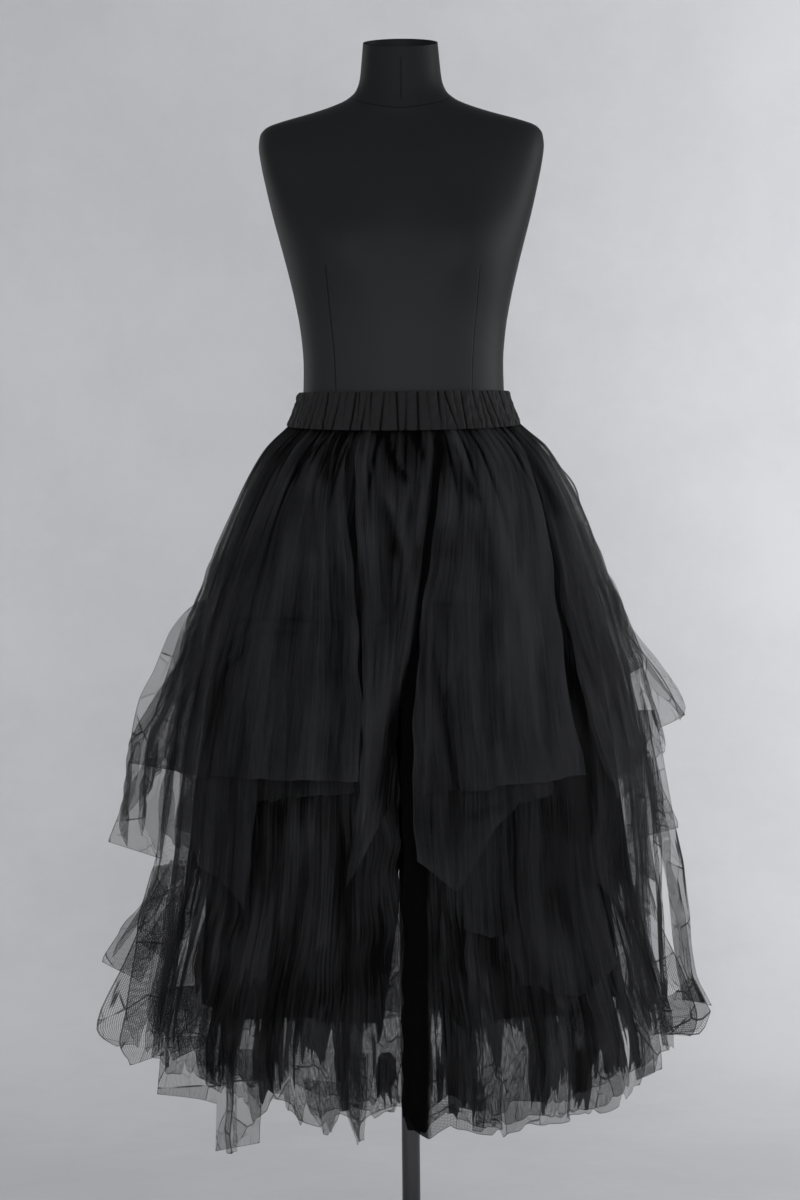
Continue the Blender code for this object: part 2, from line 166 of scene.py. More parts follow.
def points_of(obj):
    points = np.empty(len(obj.data.vertices) * 3)
    obj.data.vertices.foreach_get("co", points)
    return points.reshape(-1, 3)


def place_points(obj, points):
    obj.data.vertices.foreach_set("co", np.asarray(points, dtype=float).reshape(-1))
    obj.data.update()


def note(obj, name, values):
    """Keeps a number for each vertex, which a material can read by its name"""
    layer = obj.data.attributes.get(name) or obj.data.attributes.new(name, "FLOAT", "POINT")
    layer.data.foreach_set("value", np.asarray(values, dtype=np.float32).reshape(-1))


def select_edges(obj, rule):
    """Goes into Edit Mode and selects just the edges that follow a rule"""
    bpy.ops.object.mode_set(mode="EDIT")
    bpy.ops.mesh.select_all(action="DESELECT")
    mesh = bmesh.from_edit_mesh(obj.data)
    for edge in mesh.edges:
        edge.select_set(rule(edge))
    bmesh.update_edit_mesh(obj.data)


def for_all_faces(operator, **settings):
    """Runs one Edit Mode operator on all faces of the active object"""
    bpy.ops.object.mode_set(mode="EDIT")
    bpy.ops.mesh.select_all(action="SELECT")
    operator(**settings)
    bpy.ops.object.mode_set(mode="OBJECT")


def cut_tube(name, sides, radius, levels):
    """An open cylinder, 1 m tall, cut into a number of levels; it is left in Edit Mode"""
    deselect()
    bpy.ops.mesh.primitive_cylinder_add(vertices=sides, radius=radius, depth=1.0, end_fill_type="NOTHING")
    tube = named(bpy.context.object, name)
    select_edges(tube, lambda edge: abs(edge.verts[0].co.z - edge.verts[1].co.z) > 0.5)
    bpy.ops.mesh.subdivide(number_cuts=levels - 2)
    return tube


def rings_of(tube, levels):
    """The number of each point's level, and its angle round the axis in degrees"""
    bpy.ops.object.mode_set(mode="OBJECT")
    x, y, z = points_of(tube).T
    return np.rint((z + 0.5) * (levels - 1)).astype(int), np.degrees(np.arctan2(x, -y))


def finish_mesh(obj, angle=None):
    take(obj)
    if angle is None:
        bpy.ops.object.shade_smooth()
    else:
        bpy.ops.object.shade_smooth_by_angle(angle=math.radians(angle))
    obj.data.calc_loop_triangles()
    return len(obj.data.loop_triangles)


print("helpers ready")

# %% Shape of the form and of the skirt's layers
BAND_TOP = 1.120
BAND_HEIGHT = 0.046
BAND_FOOT = BAND_TOP - BAND_HEIGHT
NECK_TOP = 1.568
FORM_FOOT = 0.780
SEAM_GAP = 0.0003
TOP_RANK = 4
OVAL_POWER = 2.1
# height, half width, depth to the front, depth to the back, power
FORM_LEVELS = table(
    (0.780, 0.156, 0.096, 0.108, 2.2), (0.860, 0.169, 0.103, 0.121, 2.2), (0.930, 0.172, 0.106, 0.124, 2.2),
    (1.000, 0.159, 0.103, 0.111, 2.1), (1.050, 0.1435, 0.0975, 0.098, 2.1),
    (1.074, 0.1365, 0.0945, 0.092, 2.1), (1.097, 0.131, 0.092, 0.088, 2.1),
    (1.120, 0.1275, 0.0905, 0.086, 2.1), (1.160, 0.1268, 0.091, 0.085, 2.1),
    (1.200, 0.130, 0.0945, 0.087, 2.1), (1.240, 0.137, 0.0985, 0.090, 2.2),
    (1.275, 0.145, 0.1015, 0.093, 2.3), (1.310, 0.154, 0.102, 0.096, 2.4), (1.348, 0.164, 0.0965, 0.099, 2.5),
    (1.385, 0.1725, 0.087, 0.100, 2.6), (1.415, 0.1785, 0.077, 0.097, 2.8), (1.435, 0.181, 0.069, 0.091, 2.8),
    (1.449, 0.1795, 0.063, 0.085, 2.7), (1.459, 0.1725, 0.059, 0.079, 2.5), (1.467, 0.152, 0.056, 0.074, 2.3),
    (1.475, 0.124, 0.054, 0.069, 2.1), (1.484, 0.095, 0.052, 0.065, 2.0), (1.494, 0.071, 0.050, 0.061, 2.0),
    (1.506, 0.0575, 0.0485, 0.057, 2.0), (1.522, 0.052, 0.0475, 0.054, 2.0),
    (1.546, 0.0495, 0.0465, 0.052, 2.0), (1.568, 0.0475, 0.0455, 0.051, 2.0),
)
# height, then the lining's and the outermost net's reach to the side, front and back
SPREADS = table(
    (0.220, 0.264, 0.226, 0.234, 0.347, 0.313, 0.323), (0.355, 0.260, 0.220, 0.229, 0.344, 0.308, 0.318),
    (0.450, 0.257, 0.214, 0.223, 0.340, 0.300, 0.310), (0.550, 0.252, 0.206, 0.215, 0.333, 0.288, 0.297),
    (0.660, 0.243, 0.193, 0.202, 0.320, 0.269, 0.278), (0.760, 0.231, 0.178, 0.185, 0.298, 0.243, 0.250),
    (0.830, 0.219, 0.165, 0.170, 0.277, 0.220, 0.225), (0.890, 0.207, 0.152, 0.155, 0.256, 0.198, 0.201),
    (0.950, 0.192, 0.137, 0.138, 0.232, 0.174, 0.174), (1.000, 0.176, 0.123, 0.122, 0.208, 0.152, 0.150),
    (1.045, 0.156, 0.109, 0.106, 0.180, 0.129, 0.126),
    (1.074, 0.1392, 0.0972, 0.0947, 0.1496, 0.1076, 0.1051),
)
FOLD_DEPTHS = table(
    (0.220, 0.022), (0.360, 0.018), (0.500, 0.012), (0.660, 0.008), (0.860, 0.0065), (0.930, 0.0050),
    (1.000, 0.0035), (1.045, 0.0016), (1.074, 0.0003),
)
BUST_HEIGHT = 1.292
BUST_OUT = 0.090
BUST_RISE = 0.017
BUST_SPREAD = 0.038
NECK_SLOPE_FROM = 1.500
NECK_SLOPE = 0.300


def oval(angle, side, depth, power):
    sine, cosine = np.sin(np.radians(angle)), np.cos(np.radians(angle))
    return (
        side * np.sign(sine) * np.abs(sine) ** (2 / power),
        -depth * np.sign(cosine) * np.abs(cosine) ** (2 / power),
    )


def outward(angle, side, depth):
    x, y = np.sin(np.radians(angle)) / side, -np.cos(np.radians(angle)) / depth
    length = np.hypot(x, y)
    return x / length, y / length


def form_point(angle, height, out=0.0):
    """Points of the dress form; the chest rises softly over two cups"""
    side, power = read_table(FORM_LEVELS, 1, height), read_table(FORM_LEVELS, 4, height)
    front, back = read_table(FORM_LEVELS, 2, height), read_table(FORM_LEVELS, 3, height)
    cosine = np.cos(np.radians(angle))
    depth = np.where(cosine >= 0, front, back)
    x, y = oval(angle, side, depth, power)
    bump = ((np.abs(x) - BUST_OUT) / BUST_SPREAD) ** 2 + ((height - BUST_HEIGHT) / BUST_SPREAD) ** 2
    y = y - np.where(cosine > 0, BUST_RISE * np.exp(-0.5 * bump) * np.maximum(cosine, 0) ** 0.5, 0)
    out_x, out_y = outward(angle, side, depth)
    slope = NECK_SLOPE * smooth_step((height - NECK_SLOPE_FROM) / (NECK_TOP - NECK_SLOPE_FROM))
    return np.stack([x + out * out_x, y + out * out_y, height + slope * y], axis=-1)


# waves of the folds round the skirt, of the net and of the lining
NET_WAVES, LINING_WAVES = 26, 13
# the band's foot: its lift over the hips, how much of it the front loses, and where the lift fades out
HIP_LIFT, FRONT_DIP, LIFT_FROM, LIFT_OVER = 0.009, 0.0135, 0.93, 0.13
# low net spreads past its layer: by what share, from what height, over what height
LOW_SPREAD, LOW_FROM, LOW_OVER = 0.57, 0.550, 0.270


def fold_wave(angle, lining):
    turn = np.radians(angle)
    waves = LINING_WAVES if lining else NET_WAVES
    return np.sin(waves * turn + 0.9 * np.sin(3 * turn + 0.6) + 0.5 * np.sin(5 * turn))


def waist_lift(angle, height):
    """The band's foot dips at the front and climbs over the hips"""
    ahead = np.maximum(np.cos(np.radians(angle)), 0)
    on_band = 1 - 0.6 * np.clip((height - BAND_FOOT) / BAND_HEIGHT, 0, 1)
    return (HIP_LIFT - FRONT_DIP * ahead) * smooth_step((height - LIFT_FROM) / LIFT_OVER) * on_band


def skirt_point(angle, height, rank, out=0.0, fold_share=1.0):
    """Points on a layer of the skirt: rank 0 is the lining and 4 the outermost net"""
    low = smooth_step((LOW_FROM - height) / LOW_OVER)
    share = rank / TOP_RANK + (LOW_SPREAD * low if rank else 0.0)
    side, front, back = (
        read_table(SPREADS, column, height) * (1 - share) + read_table(SPREADS, column + 3, height) * share
        for column in (1, 2, 3)
    )
    depth = np.where(np.cos(np.radians(angle)) >= 0, front, back)
    x, y = oval(angle, side, depth, OVAL_POWER)
    out_x, out_y = outward(angle, side, depth)
    folds = read_table(FOLD_DEPTHS, 1, height) * fold_wave(angle, rank == 0) * (1.0 if rank else 0.4)
    lift = waist_lift(angle, height)
    push = out + folds * fold_share - 0.24 * lift
    return np.stack([x + push * out_x, y + push * out_y, height + lift], axis=-1)


print("waist is", round(2 * float(form_point(90, 1.12)[0]), 3), "m wide")

# %% [markdown]
# ## Materials
#
# Each finish is a small net of nodes round one Principled shader. A pattern that must follow the cloth reads
# the piece's own UV map, called cut, which is measured in metres on the flat cloth; a pattern on a hard piece
# reads Object coordinates. Textures painted in an image would also do, but nodes stay sharp at any distance.

# %% Helpers for materials
def new_material(name, colour, roughness, **sockets):
    """A Principled material; sockets are set by their names, with _ for a space"""
    material = bpy.data.materials.new(name)
    material.use_nodes = True
    shader = material.node_tree.nodes["Principled BSDF"]
    shader.inputs["Base Color"].default_value = (*colour, 1.0)
    shader.inputs["Roughness"].default_value = roughness
    for socket, value in sockets.items():
        shader.inputs[socket.replace("_", " ")].default_value = value
    return material, material.node_tree, shader


def add(tree, kind, inputs=None, output=0, **settings):
    """Adds a node, sets it up and gives the socket that comes out of it"""
    node = tree.nodes.new(kind)
    for setting, value in settings.items():
        setattr(node, setting, value)
    for socket, value in (inputs or {}).items():
        if isinstance(value, bpy.types.NodeSocket):
            tree.links.new(value, node.inputs[socket])
        else:
            node.inputs[socket].default_value = value
    return node.outputs[output]


def maths(tree, operation, *values):
    return add(tree, "ShaderNodeMath", dict(enumerate(values)), operation=operation)


def attribute(tree, name):
    return add(tree, "ShaderNodeAttribute", output="Fac", attribute_name=name, attribute_type="GEOMETRY")


def ramp(tree, value, start, end, low=0.0, high=1.0):
    """A soft step: low before start, high after end"""
    inputs = {"Value": value, "From Min": start, "From Max": end, "To Min": low, "To Max": high}
    return add(tree, "ShaderNodeMapRange", inputs, interpolation_type="SMOOTHSTEP")


def two_tones(tree, share, dark, light):
    """Mixes two colours; each is three numbers or comes out of a node"""
    dark, light = (tone if isinstance(tone, bpy.types.NodeSocket) else (*tone, 1.0) for tone in (dark, light))
    return add(tree, "ShaderNodeMix", {0: share, 6: dark, 7: light}, output=2, data_type="RGBA")


def ribs(tree, place, direction, spacing):
    """A wave across a direction, one crest for each spacing in metres"""
    turns = [2 * math.pi / spacing * part for part in direction]
    along = add(tree, "ShaderNodeVectorMath", {0: place, 1: turns}, output="Value", operation="DOT_PRODUCT")
    return maths(tree, "COSINE", along)


def noise(tree, place, scale, detail, dimensions="2D", **more):
    inputs = {"Vector": place, "Scale": scale, "Detail": detail, **more}
    return add(tree, "ShaderNodeTexNoise", inputs, noise_dimensions=dimensions)


def stretch(tree, place, width, length):
    """The cloth's map, counted in patches of a width and a length in metres"""
    patches = (1 / width, 1 / length, 0.0)
    return add(tree, "ShaderNodeVectorMath", {0: place, 1: patches}, operation="MULTIPLY")


def cut_noise(tree, place, width, length, detail=2.0):
    """A noise in the cloth of about -0.5 to 0.5, stretched along the way it falls"""
    return maths(tree, "SUBTRACT", noise(tree, stretch(tree, place, width, length), 1.0, detail), 0.5)


def cut_map(tree):
    return add(tree, "ShaderNodeUVMap", uv_map="cut")


def object_place(tree):
    return add(tree, "ShaderNodeTexCoord", output="Object")


def bump(tree, shader, height, distance, strength=1.0):
    inputs = {"Height": height, "Distance": distance, "Strength": strength}
    tree.links.new(add(tree, "ShaderNodeBump", inputs), shader.inputs["Normal"])


def paint(tree, shader, colour):
    tree.links.new(colour, shader.inputs["Base Color"])


print("material helpers ready")

# %% [markdown]
# ### Net
#
# Tulle is a honeycomb of very fine threads: mostly holes. Modelling every thread would take millions of
# faces, so the honeycomb is an alpha pattern, the sum of three waves at 60 degrees. Where several plies hang
# together the number kept as cover closes the holes; raw edges and pressed creases are closed too, so they
# show as fine lines.

# %% Holes of the net
NET_CELL = 0.0016
RAW_EDGE = 0.0012
CREASE = 0.0009
# crushed net is flat facets between sharp creases: width and length of the facets, strength of the creases
CRUSHED = ((0.044, 0.080, 1.00), (0.026, 0.050, 0.40))
FACET_CLOSED = 0.22
BUNCH_CLOSED = 0.88
tulle, tree, shader = new_material(
    "tulle_net", (0.0105, 0.0107, 0.0115), 0.62,
    Specular_IOR_Level=0.012, Sheen_Weight=0.012, Sheen_Roughness=0.4,
)
cut = cut_map(tree)
threads = None
for turn in (0, 60, 120):
    wave = ribs(tree, cut, (math.cos(math.radians(turn)), math.sin(math.radians(turn)), 0.0), NET_CELL)
    threads = wave if threads is None else maths(tree, "ADD", threads, wave)
closed = [ramp(tree, threads, -1.12, -0.42, 1.0, 0.0), attribute(tree, "cover")]
closed.append(ramp(tree, attribute(tree, "edge"), 0.4 * RAW_EDGE, RAW_EDGE, 0.75, 0.0))
bolt = add(tree, "ShaderNodeVectorMath", {0: cut, 1: attribute(tree, "bolt")}, operation="ADD")
crush = attribute(tree, "crush")
drawn = ramp(tree, cut_noise(tree, bolt, 0.030, 0.030), -0.12, 0.10, 0.12, 1.0)
for width, length, strength in CRUSHED:
    inputs = {"Vector": stretch(tree, bolt, width, length), "Scale": 1.0, "Randomness": 1.0}
    cells = {"inputs": inputs, "voronoi_dimensions": "2D"}
    apart = add(tree, "ShaderNodeTexVoronoi", output="Distance", feature="DISTANCE_TO_EDGE", **cells)
    facet = add(tree, "ShaderNodeTexVoronoi", output="Color", **cells)
    line = ramp(tree, apart, 0.35 * CREASE / width, CREASE / width, strength, 0.0)
    closed.append(maths(tree, "MULTIPLY", maths(tree, "MULTIPLY", line, drawn), crush))
    closed.append(maths(tree, "MULTIPLY", ramp(tree, facet, 0.48, 0.52, 0.0, FACET_CLOSED * strength), crush))
# dense bunches end in uneven points: a fine and a coarse noise shift the height at which they close
ends = maths(tree, "MULTIPLY_ADD", cut_noise(tree, bolt, 0.009, 0.15), 1.6, attribute(tree, "dense"))
ends = maths(tree, "MULTIPLY_ADD", cut_noise(tree, bolt, 0.030, 0.16, 1.0), 2.4, ends)
closed.append(ramp(tree, ends, 0.0, 0.06, 0.0, BUNCH_CLOSED))
open_share = 1.0
for share in closed:
    open_share = maths(tree, "MULTIPLY", open_share, maths(tree, "SUBTRACT", 1.0, share))
tree.links.new(maths(tree, "SUBTRACT", 1.0, open_share), shader.inputs["Alpha"])
print(tulle.name, "honeycomb of", NET_CELL * 1000, "mm")

# %% [markdown]
# The net's colour follows the number kept as painted shading: a painted highlight on the tubes and painted
# shade, nearly black, in the grooves. Soft patches, fine strands along the fall of the cloth and long stripes
# break it up.

# %% Tone of the net
# painted shade in the grooves and painted light on the tubes: the darkest and the lightest colour of the net
SHADED_GROOVE_TONE, LIT_TUBE_TONE = (0.0012, 0.0012, 0.0014), (0.0370, 0.0378, 0.0400)
# width and length of the patches and of the strands, detail, strength
MARKS = ((0.070, 0.070, 2.0, 0.3), (0.0032, 0.10, 3.0, 0.8))
STRIPE = (0.028, 0.30)
tone = maths(tree, "MULTIPLY_ADD", attribute(tree, "relief"), 0.5, 0.5)
for width, length, detail, strength in MARKS:
    tone = maths(tree, "MULTIPLY_ADD", cut_noise(tree, bolt, width, length, detail), strength, tone)
tone = maths(tree, "ADD", tone, ramp(tree, cut_noise(tree, bolt, *STRIPE), -0.012, 0.012, -0.08, 0.08))
tone = maths(tree, "MAXIMUM", maths(tree, "MINIMUM", tone, 1.0), 0.0)
paint(tree, shader, two_tones(tree, tone, SHADED_GROOVE_TONE, LIT_TUBE_TONE))
print(tulle.name, "tones ready")

# %% [markdown]
# ### Lining, waistband and form cover
#
# The lining is a dull black lawn with a fine plain weave. The waistband is a firm black twill: its ribs climb
# across the gathers, and the grooves between its tubes carry painted shade. The form's cover is a charcoal
# jersey, smooth from a distance, with fine knitted columns and sewn seams where its panels meet; painted
# light makes it lighter towards the waist, and its neck recess is painted nearly black as shade.

# %% Lining material
WEAVE = 0.0011
lining_cloth, tree, shader = new_material("lining_lawn", (0.004, 0.004, 0.0044), 0.7, Specular_IOR_Level=0.03)
cut = cut_map(tree)
weave = maths(tree, "MULTIPLY", ribs(tree, cut, (1, 0, 0), WEAVE), ribs(tree, cut, (0, 1, 0), WEAVE))
bump(tree, shader, weave, 0.0001, 0.6)
slub = noise(tree, cut, 60.0, 4.0)
paint(tree, shader, two_tones(tree, slub, (0.0016, 0.0016, 0.0018), (0.0027, 0.0027, 0.0030)))
print(lining_cloth.name)

# %% Waistband material
TWILL = 0.0012
twill, tree, shader = new_material(
    "band_twill", (0.0105, 0.0105, 0.0115), 0.80,
    Sheen_Weight=0.04, Sheen_Roughness=0.5, Specular_IOR_Level=0.12,
)
cut = cut_map(tree)
twill_ribs = ribs(tree, cut, (0.6, 0.8, 0), TWILL)
fluff = noise(tree, cut, 900.0, 3.0)
bump(tree, shader, maths(tree, "ADD", twill_ribs, fluff), 0.00012, 0.7)
crest = ramp(tree, twill_ribs, -0.8, 0.9)
ribbed = two_tones(tree, crest, (0.0105, 0.0105, 0.0114), (0.0180, 0.0181, 0.0193))
# painted shade: the grooves between the gathers are painted nearly black
shadow = ramp(tree, attribute(tree, "groove"), 0.10, 0.66)
paint(tree, shader, two_tones(tree, shadow, ribbed, (0.0008, 0.0008, 0.0009)))
print(twill.name, "ribs of", TWILL * 1000, "mm")

# %% Form cover material
KNIT = 0.0016
SEAM_WIDTH = 0.0011
# painted light: the cover is painted lighter going down from the first height to the second, towards the
# waist
WAIST_LIGHT_TOP, WAIST_LIGHT_FOOT = 1.36, 1.16
jersey, tree, shader = new_material("form_jersey", (0.0105, 0.0110, 0.0122), 0.50, Specular_IOR_Level=0.09)
place = object_place(tree)
knit = maths(tree, "MULTIPLY", ribs(tree, place, (1, 0, 0), KNIT), ribs(tree, place, (0, 0, 1), KNIT * 0.8))
seam = None
for name in ("seam_middle", "seam_side", "seam_princess", "seam_neck"):
    line = ramp(tree, maths(tree, "ABSOLUTE", attribute(tree, name)), 0.3 * SEAM_WIDTH, SEAM_WIDTH, 1.0, 0.0)
    seam = line if seam is None else maths(tree, "MAXIMUM", seam, line)
bump(tree, shader, maths(tree, "SUBTRACT", maths(tree, "MULTIPLY", knit, 0.10), seam), 0.0007, 0.8)
cloud = noise(tree, place, 5.0, 5.0, "3D")
height = add(tree, "ShaderNodeSeparateXYZ", {0: place}, output="Z")
# painted light towards the waist, mixed with a random mottle
painted_light_and_mottle = maths(tree, "MULTIPLY_ADD", cloud, 0.25, ramp(tree, height, WAIST_LIGHT_TOP, WAIST_LIGHT_FOOT, 0.0, 0.75))
ground = two_tones(tree, painted_light_and_mottle, (0.0112, 0.0117, 0.0128), (0.0205, 0.0213, 0.0228))
seamed = two_tones(tree, seam, ground, (0.0068, 0.0071, 0.0080))
# painted shade: the neck's recess is painted nearly black
paint(tree, shader, two_tones(tree, attribute(tree, "hollow"), seamed, (0.0012, 0.0012, 0.0014)))
print(jersey.name)

# %% [markdown]
# ### Steel of the stand
#
# The pole and base are brushed steel, so the roughness and the tone are drawn from a noise that is stretched
# along the pole.

# %% Steel material
steel, tree, shader = new_material("stand_steel", (0.09, 0.09, 0.095), 0.38, Metallic=1.0)
stretched = add(tree, "ShaderNodeMapping", {"Vector": object_place(tree), "Scale": (900.0, 900.0, 14.0)})
grain = noise(tree, stretched, 1.0, 3.0, "3D")
tree.links.new(ramp(tree, grain, 0.25, 0.75, 0.30, 0.48), shader.inputs["Roughness"])
paint(tree, shader, two_tones(tree, grain, (0.075, 0.075, 0.080), (0.11, 0.11, 0.115)))
print(steel.name)

# %% [markdown]
# ## Dress form
#
# A dress form is a padded shell under a tight knit cover, cut in panels from neck to hip. It could be
# sculpted; here a plain cylinder is cut into many levels and each level is set to the form's measured
# section, so the shoulders, the two cups and the waist come from one short table.

# %% Torso
FORM_SIDES = 168
levels = np.unique(np.concatenate([
    np.linspace(low, high, 4) for low, high in zip(FORM_LEVELS[:-1, 0], FORM_LEVELS[1:, 0])
]).round(5))
torso = cut_tube("form_torso_cover", FORM_SIDES, 0.15, len(levels))
ring, turn = rings_of(torso, len(levels))
place_points(torso, form_point(turn, levels[ring]))
print(torso.name, len(levels), "levels")

# %% Close the torso's foot and its neck
NECK_RIM = 0.0045
NECK_RECESS = 0.014
NECK_SIZE = FORM_LEVELS[-1, 1]
# the neck's rim rounds over and drops to a recessed cap: size kept at each step, and step down
NECK_STEPS = (
    (1 - 0.4 * NECK_RIM / NECK_SIZE, -0.0012), (1 - NECK_RIM / NECK_SIZE, 0.0008),
    (0.998, 0.0016), (0.995, NECK_RECESS),
)


def open_ring(height_of, at):
    """A rule for the open edges whose points lie at a height"""
    return lambda edge: edge.is_boundary and all(abs(height_of(v) - at) < 1e-4 for v in edge.verts)


select_edges(torso, open_ring(lambda v: v.co.z, FORM_FOOT))
bpy.ops.mesh.edge_face_add()
select_edges(torso, open_ring(lambda v: v.co.z - NECK_SLOPE * v.co.y, NECK_TOP))
for shrink, drop in NECK_STEPS:
    bpy.ops.mesh.extrude_region_move(TRANSFORM_OT_translate={"value": (0, 0, -drop)})
    bpy.ops.transform.resize(value=(shrink, shrink, 1.0), center_override=(0.0, 0.0, NECK_TOP))
bpy.ops.mesh.edge_face_add()
for_all_faces(bpy.ops.mesh.normals_make_consistent, inside=False)
print(torso.name, finish_mesh(torso, 50), "triangles")

# %% Seams of the cover
# height, then how far out the princess seams run
PRINCESS = table(
    (0.780, 0.085), (0.930, 0.090), (1.050, 0.084), (1.113, 0.0845), (1.160, 0.086), (1.230, 0.092),
    (1.292, 0.0965), (1.360, 0.098), (1.430, 0.100), (1.470, 0.096),
)
NECK_SEAM = 1.4990
NECK_SEAM_TILT = 0.42
MIDDLE_SEAM_STOPS, SIDE_SEAM_STOPS, PRINCESS_STOPS = (1.484, 1.545), 1.47, 1.285
x, y, z = points_of(torso).T
note(torso, "seam_middle", np.where((z > MIDDLE_SEAM_STOPS[1]) | (z < MIDDLE_SEAM_STOPS[0]), 1.0, x))
note(torso, "seam_side", np.where(z > SIDE_SEAM_STOPS, 1.0, y))
note(torso, "seam_princess", np.where(z > PRINCESS_STOPS, 1.0, np.abs(x) - read_table(PRINCESS, 1, z)))
note(torso, "seam_neck", z - (NECK_SEAM + NECK_SEAM_TILT * y + 0.10 * np.abs(x)))
# painted shade: the points of the neck's recess, which the material paints nearly black
note(torso, "hollow", np.arange(len(x)) >= FORM_SIDES * (len(levels) + 2))
torso.data.materials.append(jersey)
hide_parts("form_torso")
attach(torso, "root")
print("seams: middle, sides, princess, neck")

# %% [markdown]
# ## Stand
#
# The photograph shows only the pole. The stand is turned metal: a base plate with an eased rim, a collar with
# a screw, a tube and a flanged socket under the form. Spinning a profile would do; cylinders with bevels keep
# the steps easy to follow.

# %% Turned pieces
STAND_SIDES = 96


def turned_piece(name, node, rings, bevel=0.0012):
    """A cylinder whose upper face is extruded and scaled through (radius, height) steps"""
    deselect()
    radius, foot = rings[0]
    rise = rings[1][1] - foot
    bpy.ops.mesh.primitive_cylinder_add(
        vertices=STAND_SIDES, radius=radius, depth=rise, location=(0, 0, foot + rise / 2)
    )
    piece = named(bpy.context.object, name)
    bpy.ops.object.transform_apply(location=True)
    bpy.ops.object.mode_set(mode="EDIT")
    bpy.ops.mesh.select_all(action="DESELECT")
    mesh = bmesh.from_edit_mesh(piece.data)
    mesh.faces.ensure_lookup_table()
    max(mesh.faces, key=lambda face: face.calc_center_median().z).select_set(True)
    bmesh.update_edit_mesh(piece.data)
    at, height = rings[0][0], rings[1][1]
    for radius, level in rings[2:]:
        bpy.ops.mesh.extrude_region_move(TRANSFORM_OT_translate={"value": (0, 0, level - height)})
        share = radius / at
        bpy.ops.transform.resize(value=(share, share, 1.0), center_override=(0.0, 0.0, level))
        at, height = radius, level
    bpy.ops.object.mode_set(mode="OBJECT")
    edges = piece.modifiers.new("eased edges", "BEVEL")
    edges.width, edges.segments, edges.limit_method = bevel, 2, "ANGLE"
    bpy.ops.object.modifier_apply(modifier=edges.name)
    piece.data.materials.append(steel)
    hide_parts(node)
    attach(piece, "root")
    print(name, finish_mesh(piece, 35), "triangles")
    return piece


turned_piece(
    "stand_base_plate", "stand_base",
    [(0.160, 0.0), (0.160, 0.0068), (0.1586, 0.0086), (0.156, 0.0096), (0.150, 0.010)], 0.0006,
)
turned_piece(
    "stand_collar_ring", "stand_collar",
    [(0.024, 0.0103), (0.024, 0.0340), (0.0228, 0.0380), (0.0200, 0.0403)],
)
turned_piece(
    "stand_socket_flange", "stand_socket",
    [(0.019, 0.7247), (0.019, 0.7650), (0.0215, 0.7690), (0.045, 0.7697), (0.045, 0.7797)], 0.0010,
)
turned_piece("stand_pole_tube", "stand_pole", [(0.0115, 0.0103), (0.0115, 0.7797)], 0.0004)

# %% [markdown]
# ## Waistband
#
# The band is a casing folded over wide elastic and stretched while it is sewn, so it springs back into narrow
# tubes with deep, uneven grooves between them. Each groove of the front is listed one by one; those of the
# back follow the same rhythm. The wall is a cylinder that goes up the outside, over the top and down the
# inside.

# %% Where the gathers fall
# angle round the band, strength of the groove, slant in degrees from foot to top
FRONT_GATHERS = [
    (-56.7, 1.0, 1.0), (-52.2, 0.9, 0.6), (-48.0, 0.4, 0.0), (-43.6, 1.0, -0.8), (-40.0, 0.4, 0.5),
    (-36.1, 1.0, 0.7), (-31.0, 0.5, -0.4), (-25.8, 1.0, 0.3), (-23.0, 0.7, -0.5), (-19.7, 0.9, 0.6),
    (-16.5, 0.8, -0.3), (-10.3, 1.0, 0.5), (-6.8, 0.4, 0.0), (-3.0, 0.9, -0.5), (0.9, 0.7, 0.4),
    (6.5, 0.9, 0.2), (12.0, 0.45, -0.4), (17.6, 1.0, 0.0), (20.6, 0.4, 0.3), (23.6, 1.0, -2.2),
    (27.2, 0.5, -0.9), (31.2, 0.9, 0.3), (35.5, 0.5, 0.5), (39.6, 0.6, -0.4), (43.6, 0.5, 0.3),
    (47.4, 0.9, -1.2), (52.4, 0.9, -1.4), (57.6, 0.5, 0.4), (63.4, 1.0, 0.6),
]
rng = np.random.default_rng(11)
steps = rng.uniform(3.6, 8.2, 60)
rest = 63.4 + np.cumsum(steps)
rest = rest[rest < 360 - 56.7 - 3.5]
strengths, slants = rng.uniform(0.4, 1.0, len(rest)), rng.uniform(-1.2, 1.2, len(rest))
GATHERS = np.array(FRONT_GATHERS + list(zip(rest, strengths, slants)))
print(len(GATHERS), "gathers round the band")


def groove(angle, share, radius, width):
    """0 in a groove and 1 on the tubes between; share runs from the band's foot to its top"""
    closed = 0.0
    for at, strength, slant in GATHERS:
        apart = short_way(angle - at - 2.0 * slant * (share - 0.5))
        metres = np.abs(np.radians(apart)) * radius
        ends = 1 - 0.75 * ((at * 0.618) % 1.0) * (share if slant > 0 else 1 - share)
        closed = np.maximum(closed, strength * ends * np.exp(-((metres / width) ** 1.25)))
    return 1 - closed


# %% [markdown]
# The flat pattern of each cloth piece is kept in a UV map called cut, in metres, so that weave and net have
# one size all over and follow the cloth where it bends.

# %% Lay out the flat pattern
def cut_uv(obj, u, v, round_trip=None):
    """Writes the cut map from a place on the flat cloth for each vertex"""
    mesh = obj.data
    for old in list(mesh.uv_layers):
        mesh.uv_layers.remove(old)
    layer = mesh.uv_layers.new(name="cut")
    corner = np.empty(len(mesh.loops), dtype=np.int64)
    mesh.loops.foreach_get("vertex_index", corner)
    across, along = np.asarray(u).reshape(-1)[corner], np.asarray(v).reshape(-1)[corner]
    if round_trip:
        starts = np.empty(len(mesh.polygons), dtype=np.int64)
        mesh.polygons.foreach_get("loop_start", starts)
        high = np.maximum.reduceat(across, starts)
        sizes = np.diff(np.append(starts, len(corner)))
        jump = np.repeat(high, sizes) - across > round_trip / 2
        across = across + np.where(jump, round_trip, 0.0)
    layer.data.foreach_set("uv", np.stack([across, along], axis=-1).reshape(-1))


# %% Make the waistband
BAND_SIDES = 840
BAND_RADIUS = 0.125
BAND_EASE = 1.7
